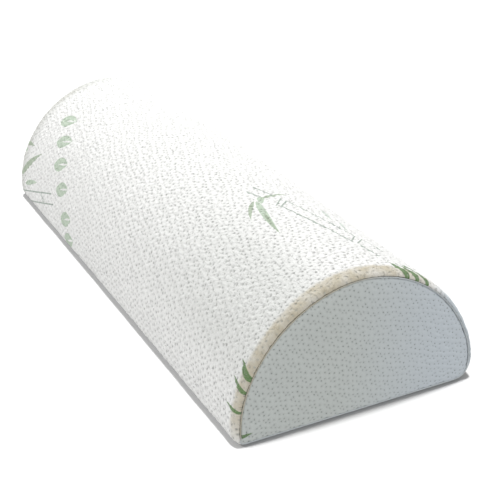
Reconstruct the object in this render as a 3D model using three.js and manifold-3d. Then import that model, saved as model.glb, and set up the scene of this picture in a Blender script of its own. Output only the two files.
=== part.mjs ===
// Bolster pillow: a half-round block of memory foam in a thin liner, inside a quilted knit cover
// that closes with a zip along its back.
//
// Units are millimetres. +X runs along the pillow, +Y is its back, where the zip is, and +Z is up.
// The origin is at the centre of the flat base. The right end is the one at +X.

import * as THREE from 'three';
import { mergeVertices } from 'three/addons/utils/BufferGeometryUtils.js';
import Module from 'manifold-3d';

const wasm = await Module();
wasm.setup();

// Driving dimensions: the whole pillow
const pillowLength = 521;
const pillowWidth = 203;
const pillowHeight = 114;
const sideHeight = 16; // where the upright sides turn into the arch
const cornerRadius = 12; // along the two long bottom edges
const innerCorner = 0.3; // the least radius on the corners of the nested layers
const touchGap = 0.3; // between pieces that lie against each other

// Driving dimensions: the quilted cover
const coverThickness = 5;
const endRoundLength = 8; // how far the rounding at each end reaches along the pillow
const endRoundInset = 3; // how far it draws the outline in
const seamInset = 4; // from the outline to the end seam
const seamWidth = 1;
const seamGroove = 1; // how deep the end seam lies below the cover's end
const endCrown = 2; // how far an end panel bulges
const endCrownWidth = 5; // how far in from the end panel's edge the bulge is full

// Driving dimensions: what the cover holds
const linerClearance = 0.9; // behind the zip's slider
const linerThickness = 1;

// Driving dimensions: the zip, measured in its own frame
const zipRise = 16; // from the top of the upright sides to the zip's centre line
const slotEndMargin = 34.5; // from each end of the pillow to the slot
const slotSideRoom = 1.4; // between the slider and each lip of the slot
const tapeSeat = 1.1; // how deep the tapes' seat is cut into the cover's inner face
const tapeThickness = 0.6;
const tapeWidth = 14;
const tapeGap = 2.6; // between the two tapes
const tapeTuck = 8; // how far the tapes run on past each end of the slot
const toothPitch = 3.2;
const toothThickness = 1.8;
const toothRootWidth = 1.1; // the solid edge that carries the teeth
const toothHeadReach = 1; // how far a tooth crosses the zip's centre line
const toothSetback = 0.6; // from the tape's edge to the solid edge that carries the teeth
const stopLength = 2;
const stitchWidth = 0.6;
const stitchDepth = 0.5; // how far the thread is sunk in the cover
const stitchOffset = 2.5; // from each lip of the slot to its row of stitching

// Driving dimensions: the slider and its pull
const sliderLength = 13;
const sliderPlate = 1;
const sliderWall = 0.8;
const sliderCorner = 2;
const postLength = 3;
const pullLength = 22;
const pullWidth = 5;
const pullThickness = 1;
const pullHole = 1.4; // radius of the hole in the pull's free end
const pullLift = 0.3; // from the cover's outer face to the pull that lies over it
const pinRadius = 0.5;
const pinClearance = 0.08;
const earThickness = 0.8;
const earMargin = 0.5; // of solid round the pin's hole

// Driving dimensions: the blank care label
const labelWidth = 26;
const labelHeight = 16;
const labelThickness = 0.5;
const labelInset = 40; // from the slot's open end to the label's middle

// How finely the round stretches are divided
const archSegments = 30;
const cornerSegments = 4;
const roundSegments = 3;
const pinSegments = 16;

// Where the zip sits on the arch, and which way it faces
const archWidth = pillowWidth / 2;
const archHeight = pillowHeight - sideHeight;
const zipPhase = Math.asin(zipRise / archHeight);
const zipBack = archWidth * Math.cos(zipPhase);
const zipHeight = sideHeight + zipRise;
const zipTilt = Math.atan2(Math.sin(zipPhase) / archHeight, Math.cos(zipPhase) / archWidth);

// Heights in the zip's frame, where 0 is the cover's outer face and up is outwards
const toothBottom = tapeSeat - coverThickness;
const toothTop = toothBottom + toothThickness;
const tapeTop = toothBottom - touchGap;
const tapeBottom = tapeTop - tapeThickness;
const plateBottom = toothTop + touchGap;
const plateTop = plateBottom + sliderPlate;
const backPlateTop = tapeBottom - touchGap;
const backPlateBottom = backPlateTop - sliderPlate;
const pinHeight = pullLift + pullThickness / 2;

// Insets and lengths of the nested layers, from the outside in
const coverLength = pillowLength - 2 * endCrown;
const hollowLength = coverLength - 2 * coverThickness;
const panelInset = seamInset + seamWidth + 2 * touchGap;
const linerInset = linerClearance - backPlateBottom;
const linerLength = coverLength - 2 * linerInset;
const sleeveLength = linerLength - 2 * (linerThickness + touchGap);
const foamInset = linerInset + linerThickness + touchGap;

// Widths in the zip's frame, from its centre line
const tapeEdge = tapeGap / 2;
const tapeReach = tapeEdge + tapeWidth;
const rootEdge = tapeEdge + toothSetback;
const rootReach = rootEdge + toothRootWidth;
const flangeEdge = rootReach + touchGap;
const sliderHalfWidth = flangeEdge + sliderWall;
const slotHalfWidth = sliderHalfWidth + slotSideRoom;
const stitchMiddle = slotHalfWidth + stitchOffset;

// Heights of the sunk stitch rows, where the cover has curved away from the slot
const stitchTop = -(stitchMiddle ** 2) / (2 * archHeight) - stitchDepth;
const stitchBottom = stitchTop - stitchWidth;

// Places along the zip, which closes at its low end and opens towards its high end
const zipStart = slotEndMargin - pillowLength / 2;
const topStopEnd = zipStart + touchGap + stopLength;
const sliderStart = topStopEnd + touchGap;
const teethStart = sliderStart + postLength + 2 * touchGap;
const bottomStopStart = -zipStart - touchGap - stopLength;
const toothCount = Math.floor((bottomStopStart - touchGap - teethStart) / toothPitch);

const materials = {
  quilt: { color: 0xe9e8e2, roughness: 0.92 },
  endQuilt: { color: 0xb9c2c1, roughness: 0.92 },
  seam: { color: 0x6b6650, roughness: 0.85 },
  tape: { color: 0xe4e2da, roughness: 0.9 },
  teeth: { color: 0xdedcd2, roughness: 0.45 },
  thread: { color: 0xf0eee6, roughness: 0.8 },
  metal: { color: 0xb8babc, roughness: 0.3, metalness: 0.9 },
  label: { color: 0xf6f5f1, roughness: 0.7 },
  liner: { color: 0xf4f3ef, roughness: 0.95 },
  foam: { color: 0xf3ead2, roughness: 1 },
};

// A closed geometry as a solid that can be cut and joined.
function solidOf(geometry) {
  const bare = geometry.clone();
  bare.deleteAttribute('normal');
  bare.deleteAttribute('uv');
  const merged = mergeVertices(bare);
  return new wasm.Manifold(new wasm.Mesh({
    numProp: 3,
    vertProperties: Float32Array.from(merged.attributes.position.array),
    triVerts: Uint32Array.from(merged.index.array),
  }));
}

function geometryOf(solid) {
  const mesh = solid.getMesh();
  const geometry = new THREE.BufferGeometry();
  geometry.setAttribute('position', new THREE.BufferAttribute(mesh.vertProperties, 3));
  geometry.setIndex(new THREE.BufferAttribute(mesh.triVerts, 1));
  geometry.computeVertexNormals();
  return geometry;
}

function cut(geometry, cutters) {
  return geometryOf(cutters.reduce((rest, cutter) => rest.subtract(solidOf(cutter)), solidOf(geometry)));
}

function join(geometries) {
  return geometryOf(geometries.map(solidOf).reduce((whole, piece) => whole.add(piece)));
}

function piece(name, geometry, material) {
  const mesh = new THREE.Mesh(geometry, new THREE.MeshStandardMaterial(materials[material]));
  mesh.name = name;
  return mesh;
}

// A box between two corners.
function block(low, high) {
  const size = high.map((value, axis) => value - low[axis]);
  const middle = high.map((value, axis) => (value + low[axis]) / 2);
  return new THREE.BoxGeometry(...size).translate(...middle);
}

// Points of the pillow's D outline, drawn in by inset: a half ellipse on short upright sides.
function outlinePoints(inset) {
  const halfWidth = archWidth - inset;
  const radius = Math.max(cornerRadius - inset, innerCorner);
  const cornerBack = halfWidth - radius;
  const cornerHeight = inset + radius;
  const quarter = Math.PI / 2;
  const arch = new THREE.EllipseCurve(0, sideHeight, halfWidth, archHeight - inset, 0, Math.PI);
  const front = new THREE.EllipseCurve(-cornerBack, cornerHeight, radius, radius, Math.PI, 3 * quarter);
  const back = new THREE.EllipseCurve(cornerBack, cornerHeight, radius, radius, -quarter, 0);
  return [
    ...arch.getPoints(archSegments),
    ...front.getPoints(cornerSegments),
    ...back.getPoints(cornerSegments),
  ];
}

// Turns a section, drawn with +Y to its right and +Z up, so that its depth runs along +X.
function alongPillow(geometry) {
  return geometry.applyMatrix4(new THREE.Matrix4().makeBasis(
    new THREE.Vector3(0, 1, 0),
    new THREE.Vector3(0, 0, 1),
    new THREE.Vector3(1, 0, 0),
  ));
}

// A straight prism of the D outline from start to end along +X.
function prism(inset, start, end) {
  const shape = new THREE.Shape(outlinePoints(inset));
  const geometry = new THREE.ExtrudeGeometry(shape, { depth: end - start, bevelEnabled: false });
  return alongPillow(geometry.translate(0, 0, start));
}

// A tube between two D outlines from start to end along +X.
function ring(outerInset, innerInset, start, end) {
  const shape = new THREE.Shape(outlinePoints(outerInset));
  shape.holes.push(new THREE.Path(outlinePoints(innerInset)));
  const geometry = new THREE.ExtrudeGeometry(shape, { depth: end - start, bevelEnabled: false });
  return alongPillow(geometry.translate(0, 0, start));
}

// A prism whose ends are rounded: roundInset inwards over the last roundLength of each end.
function roundedPrism(inset, start, end, roundInset, roundLength) {
  const shape = new THREE.Shape(outlinePoints(inset + roundInset));
  const geometry = new THREE.ExtrudeGeometry(shape, {
    depth: end - start - 2 * roundLength,
    bevelSize: roundInset,
    bevelThickness: roundLength,
    bevelSegments: roundSegments,
  });
  return alongPillow(geometry.translate(0, 0, start + roundLength));
}

// The zip's frame: x towards the open end, y up the cover, z out of it.
function zipPlace() {
  const group = new THREE.Group();
  group.position.set(0, zipBack, zipHeight);
  group.rotation.set(Math.PI / 2 - zipTilt, 0, Math.PI, 'ZYX');
  group.updateMatrix();
  return group;
}

// What the zip takes out of the cover: the slot, the seat of its tapes and the sunk stitch rows.
function zipCuts() {
  const halfTape = tapeTuck + touchGap - zipStart;
  const reach = tapeReach + touchGap;
  const slot = block([zipStart, -slotHalfWidth, -linerInset], [-zipStart, slotHalfWidth, coverThickness]);
  const seat = block([-halfTape, -reach, -linerInset], [halfTape, reach, toothBottom]);
  const rows = [-1, 1].map((side) => block(
    [zipStart, side * stitchMiddle - stitchWidth / 2 - touchGap, stitchBottom - touchGap],
    [-zipStart, side * stitchMiddle + stitchWidth / 2 + touchGap, coverThickness],
  ));
  return [slot, seat, ...rows].map((cutter) => cutter.applyMatrix4(zipPlace().matrix));
}

function coverBodyPanel() {
  const halfCover = coverLength / 2;
  const halfHollow = hollowLength / 2;
  const outside = roundedPrism(0, -halfCover, halfCover, endRoundInset, endRoundLength);
  const hollow = roundedPrism(coverThickness, -halfHollow, halfHollow, endRoundInset, endRoundLength);
  const mouthDepth = halfHollow - touchGap;
  const mouths = [
    prism(seamInset, mouthDepth, pillowLength),
    prism(seamInset, -pillowLength, -mouthDepth),
  ];
  return piece('cover_body_panel', cut(outside, [hollow, ...mouths, ...zipCuts()]), 'quilt');
}

function coverEndPanel(side) {
  const plate = roundedPrism(
    panelInset, hollowLength / 2 - endCrown, pillowLength / 2, endCrownWidth, endCrown,
  );
  const behind = prism(0, 0, hollowLength / 2);
  return piece(`cover_end_panel_${side}`, cut(plate, [behind]), 'endQuilt');
}

function endSeam(side) {
  const outer = seamInset + touchGap;
  const bead = ring(outer, outer + seamWidth, hollowLength / 2, coverLength / 2 - seamGroove);
  return piece(`end_seam_${side}`, bead, 'seam');
}

function linerEnd(side) {
  const plate = prism(linerInset, linerLength / 2 - linerThickness, linerLength / 2);
  return piece(`liner_end_${side}`, plate, 'liner');
}

// Everything at one end, built for the right end and turned half round for the left.
function pillowEnd(side) {
  const group = new THREE.Group();
  group.rotation.z = side === 'left' ? Math.PI : 0;
  group.add(coverEndPanel(side), endSeam(side), linerEnd(side));
  return group;
}

function linerBody() {
  const sleeve = ring(linerInset, linerInset + linerThickness, -sleeveLength / 2, sleeveLength / 2);
  return piece('liner_body', sleeve, 'liner');
}

function foamCore() {
  return piece('foam_core', prism(foamInset, -sleeveLength / 2, sleeveLength / 2), 'foam');
}

// One tape, on the upper (row 1) or lower (row -1) side of the zip.
function zipTape(row, name) {
  const halfLength = tapeTuck - zipStart;
  const edges = [row * tapeEdge, row * tapeReach].sort((a, b) => a - b);
  const tape = block([-halfLength, edges[0], tapeBottom], [halfLength, edges[1], tapeTop]);
  return piece(`zip_tape_${name}`, tape, 'tape');
}

// A row of teeth as one comb: the lower row stands half a pitch on, so the two mesh.
function zipTeeth(row, name) {
  const start = teethStart + (row < 0 ? toothPitch / 2 : 0);
  const toothWidth = toothPitch / 2 - touchGap;
  const comb = new THREE.Shape();
  comb.moveTo(start, row * rootReach);
  for (let tooth = 0; tooth < toothCount; tooth += 1) {
    const low = start + tooth * toothPitch;
    comb.lineTo(low, row * rootEdge);
    comb.lineTo(low, -row * toothHeadReach);
    comb.lineTo(low + toothWidth, -row * toothHeadReach);
    comb.lineTo(low + toothWidth, row * rootEdge);
  }
  comb.lineTo(start + (toothCount - 1) * toothPitch + toothWidth, row * rootReach);
  const geometry = new THREE.ExtrudeGeometry(comb, { depth: toothThickness, bevelEnabled: false });
  return piece(`zip_teeth_${name}`, geometry.translate(0, 0, toothBottom), 'teeth');
}

function zipTopStop(row, name) {
  const edges = [row * (tapeEdge + touchGap), row * rootReach].sort((a, b) => a - b);
  const stop = block([topStopEnd - stopLength, edges[0], toothBottom], [topStopEnd, edges[1], toothTop]);
  return piece(`zip_top_stop_${name}`, stop, 'teeth');
}

function zipBottomStop() {
  const stop = block(
    [bottomStopStart, -rootReach, toothBottom],
    [bottomStopStart + stopLength, rootReach, toothTop],
  );
  return piece('zip_bottom_stop', stop, 'teeth');
}

function zipStitching(row, name) {
  const middle = row * stitchMiddle;
  const thread = block(
    [zipStart + touchGap, middle - stitchWidth / 2, stitchBottom],
    [-zipStart - touchGap, middle + stitchWidth / 2, stitchTop],
  );
  return piece(`zip_stitching_${name}`, thread, 'thread');
}

// A flat plate with round corners, from x 0 to length, centred on y.
function roundPlate(length, halfWidth, radius, bottom, top) {
  const shape = new THREE.Shape();
  shape.absarc(length - radius, halfWidth - radius, radius, 0, Math.PI / 2);
  shape.absarc(radius, halfWidth - radius, radius, Math.PI / 2, Math.PI);
  shape.absarc(radius, radius - halfWidth, radius, Math.PI, 1.5 * Math.PI);
  shape.absarc(length - radius, radius - halfWidth, radius, 1.5 * Math.PI, 2 * Math.PI);
  const geometry = new THREE.ExtrudeGeometry(shape, {
    depth: top - bottom,
    bevelEnabled: false,
    curveSegments: 2,
  });
  return geometry.translate(0, 0, bottom);
}

// A round bar across the zip, centred on y, at the pull's pin.
function crossBar(radius, halfWidth, x) {
  return new THREE.CylinderGeometry(radius, radius, 2 * halfWidth, pinSegments).translate(x, 0, pinHeight);
}

// Slider: two plates joined by a post between the tapes, flanges over the teeth and two ears
// that hold the pull's pin. Its x starts at its nose, the end that meets the top stops.
function zipSlider() {
  const front = roundPlate(sliderLength, sliderHalfWidth, sliderCorner, plateBottom, plateTop);
  const back = roundPlate(sliderLength, sliderHalfWidth, sliderCorner, backPlateBottom, backPlateTop);
  const post = block(
    [0, touchGap - tapeEdge, backPlateBottom],
    [postLength, tapeEdge - touchGap, plateTop],
  );
  const flanges = [-1, 1].map((side) => {
    const edges = [side * flangeEdge, side * sliderHalfWidth].sort((a, b) => a - b);
    return block([sliderCorner, edges[0], toothBottom], [sliderLength - sliderCorner, edges[1], plateTop]);
  });
  const earRadius = pinRadius + pinClearance + earMargin;
  const earStart = pullWidth / 2 + touchGap;
  const ears = [-1, 1].map((side) => {
    const edges = [side * earStart, side * (earStart + earThickness)].sort((a, b) => a - b);
    return block(
      [sliderLength / 2 - earRadius, edges[0], plateBottom],
      [sliderLength / 2 + earRadius, edges[1], pinHeight + earRadius],
    );
  });
  const holes = crossBar(pinRadius + pinClearance, sliderHalfWidth, sliderLength / 2);
  const body = cut(join([front, back, post, ...flanges, ...ears]), [holes]);
  return piece('zip_slider', body, 'metal');
}

// Pull: a tab with a hole in its free end, on a cross pin that turns in the slider's ears. Its x
// starts at the pin's axis, and it lies back over the closed teeth.
function zipPull() {
  const tab = roundPlate(
    pullLength, pullWidth / 2, pullWidth / 4, pinHeight - pullThickness / 2, pinHeight + pullThickness / 2,
  );
  const hole = new THREE.CylinderGeometry(pullHole, pullHole, 2 * pullWidth, pinSegments);
  hole.rotateX(Math.PI / 2).translate(pullLength - pullWidth / 2, 0, pinHeight);
  const pinHalfLength = pullWidth / 2 + touchGap + earThickness;
  const pull = cut(join([tab, crossBar(pinRadius, pinHalfLength, 0)]), [hole]);
  return piece('zip_pull', pull, 'metal');
}

function careLabel() {
  const back = archWidth + touchGap;
  const middle = zipStart + labelInset;
  const top = zipHeight - stitchMiddle;
  const tag = block(
    [middle - labelWidth / 2, back, top - labelHeight],
    [middle + labelWidth / 2, back + labelThickness, top],
  );
  return piece('care_label', tag, 'label');
}

function zip() {
  const group = zipPlace();
  for (const [row, name] of [[1, 'upper'], [-1, 'lower']]) {
    group.add(zipTape(row, name), zipTeeth(row, name), zipTopStop(row, name), zipStitching(row, name));
  }
  const slider = new THREE.Group();
  slider.position.x = sliderStart;
  const pull = zipPull();
  pull.position.x = sliderLength / 2;
  slider.add(zipSlider(), pull);
  group.add(zipBottomStop(), slider);
  return group;
}

const pillow = new THREE.Group();
pillow.add(coverBodyPanel(), pillowEnd('right'), pillowEnd('left'));
pillow.add(linerBody(), foamCore(), zip(), careLabel());

export default pillow;
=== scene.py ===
"""Bolster pillow: a half-round foam block in a thin liner, inside a quilted knit cover with a zip.

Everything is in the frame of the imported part: +X runs along the pillow, +Y is its back, where
the zip is, and +Z is up. Shapes are worked out in millimetres and written to meshes in metres.
"""

import logging
import math
from dataclasses import dataclass
from enum import Enum

import bmesh
import bpy
import numpy as np
from mathutils import Matrix, Vector


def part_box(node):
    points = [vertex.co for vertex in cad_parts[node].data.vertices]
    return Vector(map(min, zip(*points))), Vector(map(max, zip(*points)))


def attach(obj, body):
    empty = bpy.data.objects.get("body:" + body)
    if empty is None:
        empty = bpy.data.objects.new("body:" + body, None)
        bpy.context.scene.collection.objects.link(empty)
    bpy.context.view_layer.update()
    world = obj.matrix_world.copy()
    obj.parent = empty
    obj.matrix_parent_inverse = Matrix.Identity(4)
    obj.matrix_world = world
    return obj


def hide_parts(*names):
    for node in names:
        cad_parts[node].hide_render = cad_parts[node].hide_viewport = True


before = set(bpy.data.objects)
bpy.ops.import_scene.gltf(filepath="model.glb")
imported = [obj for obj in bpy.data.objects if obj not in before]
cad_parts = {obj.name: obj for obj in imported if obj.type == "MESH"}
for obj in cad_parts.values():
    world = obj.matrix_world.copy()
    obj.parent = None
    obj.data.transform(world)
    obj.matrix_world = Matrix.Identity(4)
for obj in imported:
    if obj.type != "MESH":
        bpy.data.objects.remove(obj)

MM = 0.001
BLOCK = 4  # the cover's inner face takes every fourth line of its outer face
LOG = logging.getLogger("bolster")

Array = np.ndarray
Material = bpy.types.Material
Piece = bpy.types.Object
Socket = bpy.types.NodeSocket
Colour = tuple[float, float, float, float]  # linear, with its opacity
Dye = tuple[int, int, int]  # a display colour, 0 to 255 a channel
Pair = tuple[float, float]


# ---- Small tools for arrays and meshes ----


def srgb(red: int, green: int, blue: int) -> Colour:
    """A display colour of 0 to 255 a channel as the linear colour that shaders take."""
    values = [c / 255 for c in (red, green, blue)]
    linear = [v / 12.92 if v <= 0.04045 else ((v + 0.055) / 1.055) ** 2.4 for v in values]
    return (*linear, 1.0)


def toned(colour: Colour, *shares: float) -> Colour:
    """A colour whose channels are multiplied, all by one share or each by its own, up to 1."""
    each = shares * (3 // len(shares))
    return (*(min(1.0, channel * share) for channel, share in zip(colour, each)), 1.0)


def steps(start: float, end: float, pitch: float) -> Array:
    """Even places from start up to, but without, end.

    Args:
        start: The first place.
        end: Where the next stretch begins.
        pitch: The wanted distance between places.

    Returns:
        The places, as one array. Their number is a multiple of BLOCK.
    """
    count = max(BLOCK, BLOCK * round(abs(end - start) / pitch / BLOCK))
    return start + (end - start) * np.arange(count) / count


def eased(value: Array, low: float, high: float) -> Array:
    """0 below low, 1 above high, and the smooth cubic 3t^2 - 2t^3 in between."""
    share = np.clip((value - low) / (high - low), 0, 1)
    return share * share * (3 - 2 * share)


def unit(vectors: Array) -> Array:
    """The same vectors with length 1, along the last axis."""
    return vectors / np.maximum(np.linalg.norm(vectors, axis=-1, keepdims=True), 1e-12)


def closed_columns(index: Array) -> Array:
    """A grid of vertex numbers with its first column repeated after its last."""
    return np.concatenate([index, index[:, :1]], axis=1)


def quads(grid: Array) -> Array:
    """The four corners of each cell of a grid, as (rows - 1, columns - 1, 4, ...)."""
    return np.stack([grid[:-1, :-1], grid[1:, :-1], grid[1:, 1:], grid[:-1, 1:]], axis=2)


def normals_of(points: Array, ring: bool) -> Array:
    """Outward unit normals of a grid: the cross product of its row and column differences.

    Args:
        points: The grid, as (rows, columns, 3).
        ring: Whether the last column joins the first.

    Returns:
        One unit vector for each point.
    """
    along = np.gradient(points, axis=0)
    if ring:
        across = (np.roll(points, -1, axis=1) - np.roll(points, 1, axis=1)) / 2
    else:
        across = np.gradient(points, axis=1)
    return unit(np.cross(along, across))


def spline_weights(places: Array, count: int, ring: bool) -> Array:
    """Cubic B-spline weights that carry values on even knots 0 to count - 1 to other places.

    Args:
        places: Where values are wanted, counted in knots.
        count: How many knots there are.
        ring: Whether the knots run round and meet.

    Returns:
        A matrix of (places, count) whose rows add up to 1.
    """
    base = np.floor(places).astype(int)
    f = places - base
    basis = [(1 - f) ** 3, 3 * f**3 - 6 * f**2 + 4, -3 * f**3 + 3 * f**2 + 3 * f + 1, f**3]
    weights = np.zeros((len(places), count))
    rows = np.arange(len(places))
    for shift, share in zip((-1, 0, 1, 2), basis):
        knot = (base + shift) % count if ring else np.clip(base + shift, 0, count - 1)
        np.add.at(weights, (rows, knot), share / 6)
    return weights


def box_of(node: str) -> tuple[Array, Array]:
    """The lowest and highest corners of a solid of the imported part, in millimetres."""
    low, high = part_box(node)
    return np.array(low) / MM, np.array(high) / MM


def centre_of(node: str) -> Array:
    """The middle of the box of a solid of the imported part, in millimetres."""
    return sum(box_of(node)) / 2


class Sewing:
    """Collects grids of points and their faces, and makes one mesh object of them."""

    def __init__(self) -> None:
        """Starts with no points and no faces."""
        self.points: list[Array] = []
        self.count = 0
        self.faces: list[tuple[Array, dict[str, Array]]] = []

    def add(self, points: Array) -> Array:
        """Adds points in millimetres.

        Args:
            points: An array of any shape whose last axis is x, y, z.

        Returns:
            The numbers of the new vertices, in the same shape.
        """
        shape = points.shape[:-1]
        size = int(np.prod(shape))
        self.points.append(points.reshape(-1, 3))
        self.count += size
        return np.arange(self.count - size, self.count).reshape(shape)

    def cover(self, corners: Array, **maps: Array) -> None:
        """Adds faces of one size.

        Args:
            corners: Vertex numbers, with a face's corners along the last axis.
            **maps: For a map's name, its two values at each corner.
        """
        size = corners.shape[-1]
        flat = {name: values.reshape(-1, size, 2) for name, values in maps.items()}
        self.faces.append((corners.reshape(-1, size), flat))

    def grid(
        self, index: Array, keep: Array | None = None, flip: bool = False, **maps: Array
    ) -> None:
        """Adds the cells of a grid of vertex numbers as four-sided faces.

        Args:
            index: The grid of vertex numbers.
            keep: Which cells to make; all of them when left out.
            flip: Whether the faces look the other way.
            **maps: For a map's name, its two values at each grid point.
        """
        picked = np.ones((index.shape[0] - 1, index.shape[1] - 1), bool) if keep is None else keep
        turn = [0, 3, 2, 1] if flip else [0, 1, 2, 3]
        corners = quads(index)[picked][:, turn]
        self.cover(corners, **{n: quads(values)[picked][:, turn] for n, values in maps.items()})

    def bridge(self, fine: Array, coarse: Array, flip: bool = False) -> None:
        """Joins two closed loops, where the fine one has a whole number of steps to each coarse one.

        Args:
            fine: Vertex numbers of the fine loop.
            coarse: Vertex numbers of the coarse loop, which starts beside the fine one's start.
            flip: Whether the faces look the other way.
        """
        ratio = len(fine) // len(coarse)
        start = np.arange(len(coarse)) * ratio
        rim = fine[(start[:, None] + np.arange(ratio + 1)) % len(fine)]
        faces = np.concatenate([rim, np.roll(coarse, -1)[:, None], coarse[:, None]], axis=1)
        self.cover(faces[:, ::-1] if flip else faces)

    def fan(self, loop: Array, centre: int, flip: bool = False) -> None:
        """Closes a loop with triangles to one vertex, which makes a closed pole."""
        faces = np.stack([loop, np.roll(loop, -1), np.full(len(loop), centre)], axis=1)
        self.cover(faces[:, ::-1] if flip else faces)

    def tubes(self, points: Array, flip: bool = False) -> None:
        """Adds closed tubes: rings joined in order, with a many-sided face over each end.

        Args:
            points: The rings, as (tubes, rings, points of a ring, 3). Seen from the last ring,
                looking back, a ring's points run anticlockwise.
            flip: Whether they run the other way.
        """
        index = self.add(points)
        shut = np.concatenate([index, index[:, :, :1]], axis=2)
        low, high = shut[:, :-1], shut[:, 1:]
        sides = np.stack([low[..., :-1], low[..., 1:], high[..., 1:], high[..., :-1]], axis=-1)
        caps = np.concatenate([index[:, 0, ::-1], index[:, -1]])
        self.cover(sides[..., ::-1] if flip else sides)
        self.cover(caps[:, ::-1] if flip else caps)

    def build(self, name: str, smooth: bool = True) -> Piece:
        """Makes the mesh and its object, in metres, at the origin.

        Args:
            name: The piece's name.
            smooth: Whether its faces are shaded smooth.

        Returns:
            The new object, linked to the scene.
        """
        mesh = bpy.data.meshes.new(name)
        points = np.concatenate(self.points) * MM
        mesh.vertices.add(len(points))
        mesh.vertices.foreach_set("co", points.astype(np.float32).ravel())
        loops = np.concatenate([c.ravel() for c, _ in self.faces]).astype(np.int32)
        sizes = np.concatenate([np.full(len(c), c.shape[1]) for c, _ in self.faces])
        starts = np.concatenate([[0], np.cumsum(sizes)[:-1]]).astype(np.int32)
        mesh.loops.add(len(loops))
        mesh.loops.foreach_set("vertex_index", loops)
        mesh.polygons.add(len(sizes))
        mesh.polygons.foreach_set("loop_start", starts)
        mesh.polygons.foreach_set("use_smooth", np.full(len(sizes), smooth))
        for key in sorted({n for _, maps in self.faces for n in maps}):
            layer = mesh.uv_layers.new(name=key)
            blank = [m.get(key, np.zeros((*c.shape, 2))).reshape(-1, 2) for c, m in self.faces]
            layer.data.foreach_set("uv", np.concatenate(blank).astype(np.float32).ravel())
        mesh.update(calc_edges=True)
        mesh.validate()
        made = bpy.data.objects.new(name, mesh)
        bpy.context.scene.collection.objects.link(made)
        return made


def end_name(side: int) -> str:
    """The name of an end: right at +X and left at -X."""
    return "right" if side > 0 else "left"


def row_name(row: int) -> str:
    """The name of a side of the zip: upper above it and lower below it."""
    return "upper" if row > 0 else "lower"


class Body(Enum):
    """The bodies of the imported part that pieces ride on."""

    PILLOW = "pillow"
    SLIDER = "slider"
    PULL = "pull"


def finish_piece(
    piece: Piece,
    material: Material,
    body: Body = Body.PILLOW,
    nodes: tuple[str, ...] = (),
) -> Piece:
    """Dresses a piece, sets it on its body and reports it.

    Args:
        piece: The object, in place.
        material: What it is dressed in.
        body: The body it rides on.
        nodes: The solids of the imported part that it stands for.

    Returns:
        The same object.
    """
    piece.data.materials.clear()
    piece.data.materials.append(material)
    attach(piece, body.value)
    if nodes:
        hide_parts(*nodes)
    LOG.info("%s: %d faces", piece.name, len(piece.data.polygons))
    return piece


# ---- The pillow's section and the pattern of its quilting ----


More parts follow.
